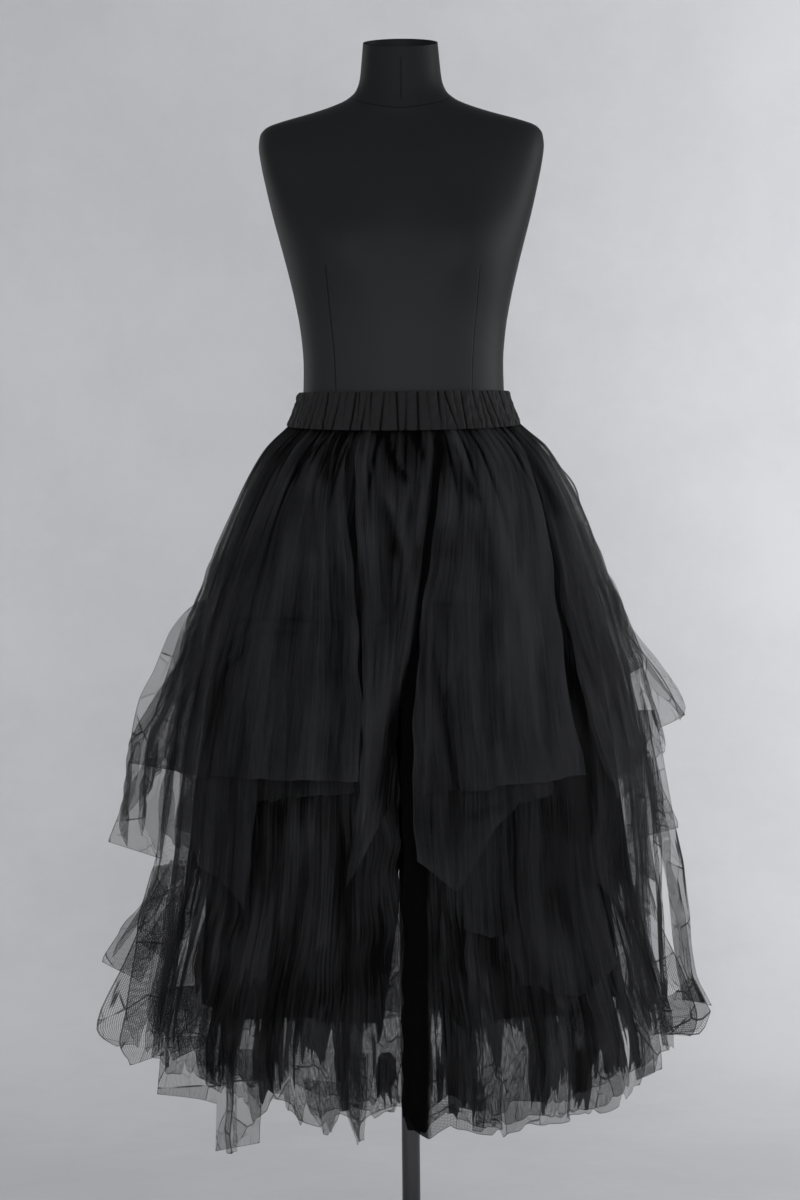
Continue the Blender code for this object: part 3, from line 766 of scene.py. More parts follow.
# height above the band's foot, crest and groove out from the form
BAND_PROFILE = table(
    (0.0, 0.0132, 0.0098), (0.0015, 0.0137, 0.0088), (0.006, 0.0138, 0.0078), (0.020, 0.0113, 0.0055),
    (0.036, 0.0086, 0.0032), (0.0435, 0.0068, 0.0024), (0.0460, 0.0050, 0.0024),
)
spans = ((0.0, 0.003, 3), (0.005, 0.042, 17), (0.0438, 0.0462, 3))
outside = np.concatenate([np.linspace(*span) for span in spans])
inside = np.linspace(0.0455, 0.0005, 6)
climb = np.concatenate([outside, inside])
band = cut_tube("waistband_casing", BAND_SIDES, 0.14, len(climb))
select_edges(band, lambda edge: edge.is_boundary)
bpy.ops.mesh.bridge_edge_loops()
ring, turn = rings_of(band, len(climb))
print(band.name, len(band.data.polygons), "faces")

# %% Gather it
GROOVE_WIDTH = 0.0012
PUFF, PUFF_GRAIN = 0.0009, 0.014
INSIDE_OUT = 0.0007
rise = climb[ring]
share = rise / BAND_HEIGHT
tubes = groove(turn, share, BAND_RADIUS, GROOVE_WIDTH)
puff = PUFF * soft_noise(turn * 0.0022, rise, PUFF_GRAIN, 5)
crest, valley = read_table(BAND_PROFILE, 1, rise), read_table(BAND_PROFILE, 2, rise)
out = valley + (crest - valley + puff) * tubes ** 0.8
# the tubes are a little taller than the grooves between them
level = BAND_FOOT + rise + 0.0016 * (tubes - 0.6) * (2 * share - 1)
on_inside = ring >= len(outside)
out = np.where(on_inside, INSIDE_OUT + 0.4 * np.minimum(out, 0.0022) * (share < 0.99), out)
level = np.clip(level, BAND_FOOT - 0.001, 1.125)
place_points(band, form_point(turn, level + waist_lift(turn, level), out))
# painted shade: the band's material darkens the grooves by this number
note(band, "groove", np.where(on_inside, 0.0, 1 - tubes))
length = np.where(on_inside, 2 * BAND_HEIGHT - rise, rise)
cut_uv(band, np.radians(turn % 360) * BAND_RADIUS * BAND_EASE, length, 2 * np.pi * BAND_RADIUS * BAND_EASE)
band.data.materials.append(twill)
take(band)
for_all_faces(bpy.ops.mesh.normals_make_consistent, inside=False)
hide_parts("waistband")
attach(band, "root")
print(band.name, finish_mesh(band), "triangles")

# %% [markdown]
# ## A sheet on the skirt
#
# Lining and net are both flat cloth. Each piece starts as a flat grid at its cut size and is then laid on the
# skirt's layer by a rule for where each of its points goes, which keeps its hems and folds under control. A
# cloth simulation was the other way; with this many layers it is slow, and the corners wander away from the
# photograph.

# %% Lay a flat grid on the skirt
def flat_grid(name, width, length, columns, rows):
    """A flat grid at its cut size; its vertices go row by row from the hem up"""
    deselect()
    bpy.ops.mesh.primitive_grid_add(x_subdivisions=columns, y_subdivisions=rows, size=1.0)
    sheet = named(bpy.context.object, name)
    bpy.ops.transform.resize(value=(width, length, 1.0))
    bpy.ops.object.transform_apply(scale=True)
    return sheet


def across_and_down(columns, rows):
    """Shares of the way across and down for the grid's points, from 0 at the band to 1 at the hem"""
    return np.meshgrid(np.linspace(0, 1, columns + 1), np.linspace(1, 0, rows + 1))


def even_steps(values, share):
    return np.interp(share, np.linspace(0, 1, len(values)), values)


def through_three(values, share):
    start, middle, end = values
    mixed = start * (1 - share) * (1 - 2 * share) + middle * 4 * share * (1 - share)
    return mixed + end * share * (2 * share - 1)


def measure(obj):
    """The area of a piece's faces, in square metres"""
    area = np.empty(len(obj.data.polygons))
    obj.data.polygons.foreach_get("area", area)
    return float(area.sum())


print("grid helpers ready")

# %% [markdown]
# ## Lining
#
# The lining is opaque and ends below the knee. It is cut in four panels: they are sewn at the sides and down
# the centre, and the centre seams open into slits, in front from below the hip. The panels could be one tube
# with two cuts; four sheets let each edge of a slit hang by itself.

# %% Lining panels
LINING_HEM = 0.355
LINING_TOP = BAND_FOOT - SEAM_GAP
LINING_MAP = (0.45, 0.76)
LINING_INSET = 0.0009
LINING_THICKNESS = 0.0007
# name, side, at the back, height where the slit opens, its half width half way down and at the hem
LINING_PANELS = [
    ("front_left", -1, False, 0.860, 0.022, 0.036),
    ("front_right", 1, False, 0.860, 0.018, 0.105),
    ("back_left", -1, True, 0.535, 0.028, 0.085),
    ("back_right", 1, True, 0.535, 0.028, 0.085),
]


def lay_lining(name, sign, at_back, opens, at_mid, at_hem):
    columns, rows = 44, 56
    across, down = across_and_down(columns, rows)
    hem = LINING_HEM + 0.003 * np.sin(9 * across + opens)
    height = LINING_TOP - (LINING_TOP - hem) * down
    side = read_table(SPREADS, 1, height)
    gap = even_steps((0.0, at_mid, at_hem), (opens - height) / (opens - LINING_HEM))
    turn = np.degrees(np.arcsin(((SEAM_GAP / 2 + gap) / side) ** (OVAL_POWER / 2)))
    seam = np.degrees(SEAM_GAP / side)
    centre, start = (180 - turn, 90 + seam) if at_back else (turn, 90 - seam)
    share = 1 - across if at_back != (sign > 0) else across
    angle = sign * (start + (centre - start) * share)
    soft = 0.0025 * soft_noise(np.radians(angle) * 0.25, height, 0.16, 21)
    curl = 0.006 * np.exp(-np.minimum(1 - share, 1) * 0.35 / 0.02) * smooth_step((opens - height) / 0.12)
    sheet = flat_grid("lining_" + name + "_panel", *LINING_MAP, columns, rows)
    place_points(sheet, skirt_point(angle, height, 0, soft + curl - LINING_INSET))
    cut_uv(sheet, across * LINING_MAP[0], (1 - down) * LINING_MAP[1])
    return sheet


for name, *sizes in LINING_PANELS:
    panel = take(lay_lining(name, *sizes))
    faces = panel.data.polygons
    facing_out = sum(face.normal.x * face.center.x + face.normal.y * face.center.y for face in faces)
    if facing_out < 0:
        for_all_faces(bpy.ops.mesh.flip_normals)
    wall = panel.modifiers.new("cloth", "SOLIDIFY")
    wall.thickness, wall.offset = LINING_THICKNESS, 0.0
    bpy.ops.object.modifier_apply(modifier=wall.name)
    panel.data.materials.append(lining_cloth)
    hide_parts("lining_" + name)
    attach(panel, "root")
    print(panel.name, finish_mesh(panel), "triangles,", round(measure(panel) / 2, 3), "square metres a side")

# %% [markdown]
# ## Net petals
#
# The skirt is a stack of net petals: long ones to the calf, then under, middle and top ones that end higher,
# all with raw edges. A petal is a wide strip gathered to the band, so it hangs in tubes at the top and opens
# into soft folds. Lower down it has been crushed in storage, and stiff net keeps those marks as sharp flat
# facets.

# %% Petals: edges round the skirt and heights of the hems
# name, layer, left edge and right edge in degrees at the band, half way and hem, heights of the hem
Petal = namedtuple("Petal", "name rank left right hem")
PETALS = [Petal(*row) for row in (
    ("top_front_left", 4, (-53, -57, -59), (-25, -12.2, -9.6), (0.646, 0.645, 0.642)),
    ("top_centre", 4, (-20, -9.6, -11.8), (17, 3, -4), (0.520, 0.560, 0.610)),
    ("top_front_right", 4, (16, 4, 2.5), (58, 42, 40), (0.628, 0.636, 0.645)),
    ("top_side_right", 4, (61, 46, 47), (96, 88, 80), (0.612, 0.640, 0.690)),
    ("top_corner_right", 4, (98, 91, 84), (113, 108, 104), (0.725, 0.698, 0.735)),
    ("top_side_left", 4, (-101, -100, -98), (-55, -60, -62), (0.580, 0.550, 0.600, 0.630)),
    ("top_back_left", 4, (-150, -149, -147), (-104, -103, -101), (0.640, 0.610, 0.655)),
    ("top_back_centre", 4, (-206, -205, -203), (-153, -153, -151), (0.610, 0.640, 0.600)),
    ("top_back_right", 4, (116, 111, 107), (151, 152, 153), (0.650, 0.600, 0.635)),
    ("mid_front_left", 3, (-72, -76, -78), (-34, -35, -35.5), (0.570, 0.550, 0.490)),
    ("mid_front_right", 3, (14, 3, 1.5), (48, 38, 33), (0.550, 0.512, 0.580, 0.615, 0.625)),
    ("mid_side_right", 3, (52, 49, 45), (97, 97, 96), (0.520, 0.450, 0.470, 0.500)),
    ("mid_side_left", 3, (-103, -103, -102), (-75, -79, -81), (0.480, 0.405, 0.490)),
    ("mid_back_left", 3, (-179, -178, -177), (-108, -107, -106), (0.500, 0.460, 0.520, 0.480)),
    ("mid_back_right", 3, (100, 101, 101), (177, 178, 179), (0.490, 0.530, 0.460, 0.510)),
    ("under_front_left", 2, (-50, -55, -61), (-24, -15, -9), (0.588, 0.606, 0.622, 0.632)),
    ("under_point_right", 2, (15, 14, 11), (27, 24, 22.5), (0.470, 0.455, 0.460)),
    ("under_front_right", 2, (30, 27, 24), (60, 52, 50), (0.400, 0.385, 0.420)),
    ("low_side_left", 2, (-104, -104, -103), (-73, -70, -65), (0.400, 0.330, 0.300, 0.310)),
    ("low_side_right", 2, (72, 70, 66), (103, 102, 100), (0.345, 0.350, 0.335, 0.400)),
    ("long_front", 1, (-1, -1, -1), (15, 14, 13), (0.250, 0.236, 0.250, 0.244, 0.241)),
    ("long_front_right", 1, (15, 14, 12.5), (54, 53, 52),
     (0.242, 0.239, 0.243, 0.240, 0.246, 0.250, 0.262, 0.268)),
    ("long_side_right", 1, (55, 55, 54), (96, 96, 95), (0.272, 0.285, 0.298, 0.300, 0.310, 0.305)),
    ("long_back_right", 1, (97, 97, 97), (138, 138, 137), (0.300, 0.270, 0.290, 0.265)),
    ("long_back_centre_right", 1, (139, 139, 140), (179, 179, 178), (0.270, 0.290, 0.265, 0.285)),
    ("long_back_centre_left", 1, (-180, -180, -179), (-139, -139, -140), (0.280, 0.262, 0.292, 0.270)),
    ("long_back_left", 1, (-138, -138, -137), (-96, -96, -97), (0.268, 0.295, 0.272, 0.300)),
    ("long_side_left", 1, (-95, -95, -94), (-47, -46, -45), (0.300, 0.282, 0.290, 0.270)),
    ("long_front_left", 1, (-49, -48, -47), (-4, -2.6, -1.2),
     (0.281, 0.272, 0.272, 0.284, 0.264, 0.268, 0.269, 0.255, 0.246, 0.254, 0.248, 0.258, 0.259)),
)]
# hems that stand out beyond their layer: by how much, and from what height down
KICK_OVER = 0.130
KICKS = {
    "top_side_right": (0.012, 0.800), "top_corner_right": (0.042, 0.850), "top_side_left": (0.030, 0.800),
    "mid_side_left": (0.026, 0.520), "low_side_left": (-0.018, 0.520), "low_side_right": (-0.022, 0.540),
    "mid_side_right": (-0.010, 0.640), "long_side_left": (-0.008, 0.420),
}
print(len(PETALS), "petals")

# %% [markdown]
# Each layer hangs in its own way. The top layer is pressed almost flat and its plies lie close, so it looks
# dense; the long layer is sheer, deeply pleated and crushed, with a spiky hem. One row of numbers for each
# layer holds that, and a few petals that differ have a row of their own.

# %% How each layer hangs
# plies, cut width for its width on the skirt, share of the common folds, closed by other plies at band and
# hem, crush marks and how far down they start, depth of the facets, their size, pleats to a metre, spikes of
# the hem, and the step of its grid across the cloth
Hang = namedtuple(
    "Hang", "plies ease folds cover_top cover_hem crush crush_from facets size pleats spikes step"
)
HANGS = {name: Hang(*row) for name, row in {
    "top": (1, 1.10, 0.28, 0.75, 0.42, 0.06, 0.30, 0.0022, 0.060, 0.0, 0.002, 0.0032),
    "top_side": (2, 1.20, 0.35, 0.25, 0.00, 0.80, 0.10, 0.0110, 0.042, 1.0, 0.008, 0.0042),
    "top_corner": (1, 1.15, 0.40, 0.10, 0.00, 0.60, 0.20, 0.0080, 0.045, 0.0, 0.003, 0.0044),
    "mid": (1, 1.15, 0.28, 0.60, 0.25, 0.25, 0.35, 0.0050, 0.060, 1.0, 0.004, 0.0040),
    "mid_side": (1, 1.25, 0.40, 0.20, 0.00, 0.65, 0.15, 0.0130, 0.050, 2.0, 0.010, 0.0046),
    "under": (1, 1.15, 0.28, 0.60, 0.25, 0.20, 0.40, 0.0045, 0.060, 2.0, 0.004, 0.0040),
    "low_side": (1, 1.25, 0.40, 0.05, 0.00, 0.35, 0.25, 0.0130, 0.060, 2.0, 0.012, 0.0046),
    "long": (2, 1.30, 0.30, 0.30, 0.00, 1.00, 0.50, 0.0120, 0.060, 3.0, 0.016, 0.0047),
    "long_side": (1, 1.30, 0.30, 0.15, 0.00, 0.40, 0.40, 0.0120, 0.060, 3.0, 0.016, 0.0047),
    "long_front": (3, 1.35, 0.30, 0.35, 0.00, 1.00, 0.60, 0.0120, 0.060, 4.0, 0.017, 0.0046),
}.items()}
ROW_STEP, PRESSED_ROW_STEP, STACKED_ROWS = 0.0056, 0.0034, 1.39
PRESSED = ("top_front_left", "top_centre", "top_front_right", "mid_front_right")
CALM_HEMS = ("long_front", "long_front_right", "long_back_centre_right", "long_back_centre_left")
# where the long net hangs in dense bunches: angle, half width in degrees, height of its tip
BUNCHES = [
    (-42.5, 5.0, 0.272), (-29.5, 4.5, 0.262), (-21.5, 1.5, 0.300), (-12.5, 2.6, 0.226), (-5.6, 3.2, 0.250),
    (1.2, 3.2, 0.236), (8.4, 4.6, 0.246), (27.0, 3.4, 0.236), (38.5, 4.2, 0.242), (54.0, 4.6, 0.268),
    (43.0, 18.0, 0.292), (68.0, 1.2, 0.330), (92.0, 1.5, 0.330), (108.0, 3.0, 0.320), (124.0, 3.0, 0.285),
    (139.0, 5.0, 0.290), (158.0, 3.5, 0.270), (-166.0, 2.0, 0.270), (-151.0, 5.0, 0.290),
    (-133.0, 3.5, 0.275), (-117.0, 2.5, 0.320), (-99.0, 1.2, 0.340), (-64.0, 1.4, 0.340),
]
# the long net is dense above this height, and at the sides above a higher one
DENSE_FROM = 0.340
SIDE_DENSE_FROM = 0.500
# the sides, where it is sheerer, in degrees from the front, and the back vent
SIDE_STARTS, SIDE_ENDS, SIDE_BLEND = 46, 134, 10
VENT_STARTS, VENT_BLEND, VENT_RISE = 160, 8, 0.25
# the gathers' grooves below the band: depth, and shortest length and what chance and strength add to it
GATHER_DEPTH, GATHER_LENGTH, GATHER_MORE = 0.0075, 0.050, 0.130


def denseness(angle, height):
    """Above 0 where the long net hangs many plies thick, below 0 where one can see through it"""
    aside = np.abs(angle)
    side = smooth_step((aside - SIDE_STARTS) / SIDE_BLEND) * smooth_step((SIDE_ENDS - aside) / SIDE_BLEND)
    vent = smooth_step((aside - VENT_STARTS) / VENT_BLEND)
    total = (height - DENSE_FROM - (SIDE_DENSE_FROM - DENSE_FROM) * side - VENT_RISE * vent) / 0.09
    for at, half, tip in BUNCHES:
        taper = np.clip((height - tip) / 0.060, 0.0, 1.0) ** 0.7
        apart = np.abs(short_way(angle - at)) / half
        total = np.maximum(total, np.minimum(1.2 * (0.85 * taper - apart), (height - tip) / 0.03))
    return np.clip(total, -1.0, 1.0)


def gather_depth(angle, height, radius):
    """Deep narrow grooves at the band that open and fade as the cloth falls"""
    down = BAND_FOOT - height
    total = 0.0
    for k, (at, strength, slant) in enumerate(GATHERS):
        reach = GATHER_LENGTH + GATHER_MORE * ((k * 0.618) % 1.0) * strength
        drift = slant * 1.2 + 2.5 * math.sin(2.1 * k)
        apart = short_way(angle - at + slant / 2 - drift * down / 0.2)
        width = 0.0014 + 0.024 * down
        shape = np.exp(-np.abs(np.radians(apart) * radius / width) ** 1.25)
        total = np.maximum(total, strength * shape * np.clip(1 - down / reach, 0, 1) ** 1.3)
    return GATHER_DEPTH * total * (0.40 + 0.60 * smooth_step(down / 0.030))


def hang_of(name):
    """The row of the two first words of a petal's name, or else of its first"""
    words = name.split("_")
    pair = "_".join(words[:2])
    return HANGS[pair if pair in HANGS else words[0]]


print("layers:", ", ".join(HANGS))

# %% Folds listed one by one
# Main folds of the front, read off the photograph as lines. All sizes are in millimetres.
# petals that the folds mark, then for each fold its depth (+ a trough, - a ridge), its half width and the
# points of its line, across from the pole and up from the floor
FRONT_FOLDS = [
    ("top_front_left", [
        (4, 7, (-146, 1062), (-156, 1022)),
        (4.5, 6.5, (-100, 1066), (-128, 1030), (-140, 995)),
        (4.2, 6, (-88, 1066), (-106, 1020)),
        (5, 6, (-70, 1066), (-94, 1030), (-97, 995)),
        (3, 11, (-114, 1006), (-114, 960), (-110, 905)),
        (3, 16, (-80, 930), (-78, 840), (-80, 720)),
        (1.5, 2.6, (-228, 836), (-160, 841), (-60, 834)),
        (1.1, 2.4, (-200, 824), (-130, 822), (-60, 818)),
        (-1.4, 2.8, (-186, 832), (-228, 780), (-248, 736)),
        (1, 2.6, (-170, 832), (-205, 790), (-236, 756)),
    ]),
    ("top_centre", [
        (5.5, 5, (-22, 1064), (-12, 1030), (10, 998)),
        (-4.6, 4.6, (-36, 1020), (-12, 960), (0, 912), (4, 840)),
        (4, 6, (-28, 990), (-14, 940), (-6, 900)),
        (5, 4, (18, 1066), (16, 1000), (12, 940)),
        (1.2, 2.6, (-40, 835), (-15, 838)),
    ]),
    ("top_front_right", [
        (6, 7.5, (62, 1046), (74, 1010), (94, 975)),
        (2.2, 8, (96, 978), (106, 920), (110, 860)),
    ]),
    ("top_front_right mid_front_right", [
        (2.6, 3.4, (104, 880), (106, 800), (107, 660)),
    ]),
    ("top_front_right", [
        (-2.4, 5, (114, 880), (116, 800), (118, 660)),
        (2.2, 12, (52, 960), (56, 900)),
        (1.2, 2.6, (20, 856), (60, 857), (100, 853)),
        (1.8, 5, (160, 800), (168, 700), (172, 650)),
    ]),
    ("top_side_right mid_side_right", [
        (6, 5.5, (128, 1060), (152, 1016), (184, 958)),
    ]),
    ("top_side_right", [
        (6, 8, (154, 1046), (178, 1000), (206, 955)),
        (-4.5, 7, (170, 1046), (206, 985), (232, 912)),
        (2, 3.5, (200, 872), (250, 884)),
        (4, 9, (180, 900), (205, 820), (240, 720)),
    ]),
    ("mid_front_left", [
        (-2.5, 4, (-196, 530), (-150, 505)),
    ]),
    # a wide trough under the right side's edge; the net's colour also paints it as shade
    ("mid_side_right under_front_right long_front_right", [
        (5, 17, (152, 905), (187, 800), (226, 712)),
    ]),
    ("mid_front_right", [
        (2.2, 4, (60, 600), (120, 620)),
    ]),
    ("top_front_right", [
        (2.4, 3, (29, 826), (45, 730), (66, 600)),
    ]),
    ("top_front_right mid_front_right", [
        (-3.4, 3, (28, 880), (24, 760), (18, 600)),
    ]),
    ("top_centre", [
        (-3.4, 2.8, (-45, 840), (-49, 680), (-58, 540)),
    ]),
]
BAND_FOLDS_FROM = 1.04
FOLD_FADE = 0.30


def nearest_on_line(x, z, ends):
    """How far points are from a line, the share of the way along it, and how far they lie beside it"""
    lengths = np.hypot(*np.diff(ends, axis=0).T)
    whole, walked = lengths.sum(), 0.0
    nearest, along, beside = np.full(x.shape, 9.0), np.zeros(x.shape), np.zeros(x.shape)
    for (x0, z0), (x1, z1), length in zip(ends[:-1], ends[1:], lengths):
        t = ((x - x0) * (x1 - x0) + (z - z0) * (z1 - z0)) / length**2
        held = np.clip(t, 0, 1)
        apart = np.hypot(x - x0 - held * (x1 - x0), z - z0 - held * (z1 - z0))
        closer = apart < nearest
        nearest = np.where(closer, apart, nearest)
        along = np.where(closer, (walked + held * length) / whole, along)
        beside = np.where(closer, ((x - x0) * (z1 - z0) - (z - z0) * (x1 - x0)) / length, beside)
        walked += length
    return nearest, along, beside


def hand_folds(name, points):
    """How far the listed folds push each point inwards"""
    x, z = points[..., 0], points[..., 2]
    push = 0.0
    folds = [fold for pieces, folds in FRONT_FOLDS if name in pieces.split() for fold in folds]
    for depth, width, *line in folds:
        depth, width, ends = depth / 1000, width / 1000, np.array(line) / 1000
        nearest, along, beside = nearest_on_line(x, z, ends)
        start = 1.0 if ends[0, 1] > BAND_FOLDS_FROM else smooth_step(along / FOLD_FADE)
        fade = smooth_step((1 - along) / FOLD_FADE) * start
        spread = width * (1.1 + 0.8 * np.tanh(3 * beside / width) * (1 if depth > 0 else -1))
        push = push + depth * np.exp(-((nearest / spread) ** 2)) * fade
    return push


print(sum(len(folds) for _, folds in FRONT_FOLDS), "folds placed by hand")

# %% Pleats, crushed facets and raw edges
# a raw hem: narrowest and widest shelf, half width of a step, half width of a spike, cloth between two spikes
SHELVES, STEP_HALF, SPIKES, SPIKE_EVERY = (0.010, 0.056), 0.0032, (0.006, 0.013), 0.045
# how many corners of facets differ before they repeat
KNOTS = 64


def pleat(across, seed, count, width, strength, down):
    """Folds that double the cloth back over itself: how far each point slides sideways, and in or out"""
    rng = np.random.default_rng(seed)
    slide = lift = 0.0
    for centre in (np.arange(count) + rng.uniform(0.2, 0.8, count)) * across.max() / max(count, 1):
        half = width * rng.uniform(0.6, 1.5)
        lean, side = rng.uniform(-0.03, 0.03), rng.choice((-1.0, 1.0))
        grow = smooth_step((down - rng.uniform(0.0, 0.35)) / 0.5)
        x = (across - centre - lean * down) / half
        bell = x * np.exp(-0.5 * x * x)
        slide = slide - half * strength * rng.uniform(0.9, 1.9) * grow * bell
        lift = lift - side * half * 0.55 * grow * bell
    return slide, lift


def ragged(across, depth, seed):
    """A raw hem: uneven shelves with steep steps, and a few spikes and nicks"""
    rng = np.random.default_rng(seed)
    steps = np.cumsum(rng.uniform(*SHELVES, int(across.max() / 0.022) + 4)) - 0.04
    levels = depth * rng.uniform(-0.75, 0.75, len(steps) + 1)
    knots = np.stack([steps - STEP_HALF, steps + STEP_HALF], axis=1).ravel()
    hem = np.interp(across, knots, np.stack([levels[:-1], levels[1:]], axis=1).ravel())
    for place in rng.uniform(0, across.max(), int(across.max() / SPIKE_EVERY)):
        rise = depth * rng.uniform(-0.9, 0.9)
        hem = hem + rise * np.maximum(1 - np.abs(across - place) / rng.uniform(*SPIKES), 0)
    return hem


def crease_map(across, down, size, lean, seed):
    """Two counts across the cloth whose whole numbers, and those of their difference, are crease lines"""
    lean = math.radians(lean)
    grain = 4.0 * size[1]
    a = across * math.cos(lean) + down * math.sin(lean)
    b = down * math.cos(lean) - across * math.sin(lean)
    a = a + 0.16 * size[0] * soft_noise(across, down, grain, seed)
    b = b + 0.16 * size[1] * soft_noise(across, down, grain, seed + 1)
    return a / size[0], b / size[1]


def facets(a, b, seed):
    """Flat triangles between those creases, each corner moved by its own -1 to 1"""
    knots = np.random.default_rng(seed).uniform(-1.0, 1.0, (KNOTS, KNOTS))
    i, j = np.floor(a).astype(int), np.floor(b).astype(int)
    fa, fb = a - i, b - j
    square = ((0, 0), (1, 0), (0, 1), (1, 1))
    near, right, below, far = (knots[(i + di) % KNOTS, (j + dj) % KNOTS] for di, dj in square)
    one_side = near + fa * (right - near) + fb * (far - right)
    other_side = near + fb * (below - near) + fa * (far - below)
    return np.where(fa > fb, one_side, other_side)


print("folding helpers ready")

# %% Lay one ply of a petal
# How the plies of a petal differ: its hem, the slide of a long petal's left and right edge in degrees, the
# place between the layers, the share of the kick, and how much thinner its bunches are
Ply = namedtuple("Ply", "hem left right inward kick thinner")
PLIES = [Ply(*row) for row in (
    (0.004, 0.0, 0.0, 0, 1.0, 0.0), (0.022, 3.5, 1.0, 1, 0.55, 0.4), (-0.001, 1.5, 3.5, -1, 0.8, 0.7),
)]
NET_INSET = 0.0006
CALM = 0.55
PLEAT_WIDTH, PLEAT_STRENGTH = 0.0075, 0.85
# how far apart two pieces lie on the bolt that they are cut from, so that their noises differ
BOLT_STEP = 0.37
# painted shade: how much darker each layer is painted, most of all the inner ones that lie in shade, and the
# range of painted light and shade that is kept
RANK_PAINTED_SHADE = (0.0, 0.75, 0.50, 0.30, 0.45)
DARKEST, LIGHTEST = -1.5, 1.0
# the shadow that parts the centre petal from the black gap: its edge at each height, and its softness
GAP_EDGE = ((0.64, 0.70, 0.786, 0.853, 0.90, 1.07), (-0.045, -0.034, -0.004, 0.008, 0.016, 0.036))
GAP_SOFT = ((0.56, 0.70, 0.786, 0.86), (0.040, 0.026, 0.012, 0.007))


def net_sheet(name, width, length, points, u, down, values):
    """A sheet of net: its points, its flat pattern and the numbers that its material reads"""
    rows, columns = (count - 1 for count in u.shape)
    sheet = flat_grid(name, width, length, columns, rows)
    place_points(sheet, points)
    cut_uv(sheet, u, (1 - down) * length)
    for key, value in values.items():
        note(sheet, key, np.broadcast_to(value, u.shape))
    sheet.data.materials.append(tulle)
    return sheet


def cut_size(petal, hang):
    """Width and length of a petal's flat cut"""
    radius = float(read_table(SPREADS, 4, min(petal.hem)))
    turns = [abs(right - left) for left, right in zip(petal.left, petal.right)]
    width = hang.ease * max(math.radians(turns[1]) * 0.9 * radius, math.radians(turns[2]) * radius)
    return width, 1.03 * (BAND_FOOT - min(petal.hem))


def crumple(u, v, hang, crush, seed):
    """How far crushed facets move each point inwards and sideways"""
    fold_a, fold_b = crease_map(u, v, (hang.size, 1.4 * hang.size), 55 * math.sin(seed), seed + 20)
    crumb_a, crumb_b = crease_map(u, v, (0.45 * hang.size, 0.6 * hang.size), 50 * math.cos(seed), seed + 24)
    dents = facets(fold_a, fold_b, seed + 40) + 0.25 * facets(crumb_a, crumb_b, seed + 41)
    sideways = 0.7 * hang.facets * crush * facets(fold_a, fold_b, seed + 42)
    return hang.facets * crush * dents, sideways


def painted_light_on_petals(name, x, height, relief, cover):
    """Painted light and shade on single petals, from the photograph"""
    if name == "top_front_left":
        # painted light over the petal, and painted shade towards its left edge
        relief = relief + 0.22 - 0.45 * smooth_step((-0.14 - x) / 0.10)
    if name == "top_front_right":
        # painted light: lighter towards the right, more so past the fold at the right
        beyond = x - 0.096 + 0.35 * np.maximum(height - 0.90, 0)
        relief = relief + 0.10 * smooth_step((x - 0.050) / 0.050) + 0.42 * smooth_step(beyond / 0.012)
    if name == "top_side_right":
        # painted light on the right side, where the light falls
        relief = relief + 0.45
    if name == "long_front":
        # painted shade: a dark, nearly closed strip painted where the pole stands in shade inside the skirt
        dark = smooth_step((0.024 - x) / 0.006)
        relief, cover = relief - 1.5 * dark, cover + (1 - cover) * 0.9 * dark
    if name == "top_centre":
        # painted shadow beside the black gap
        starts, fades = np.interp(height, *GAP_EDGE), np.interp(height, *GAP_SOFT)
        relief = relief + 0.1 - 1.4 * smooth_step((x - starts) / fades)
    return relief, cover


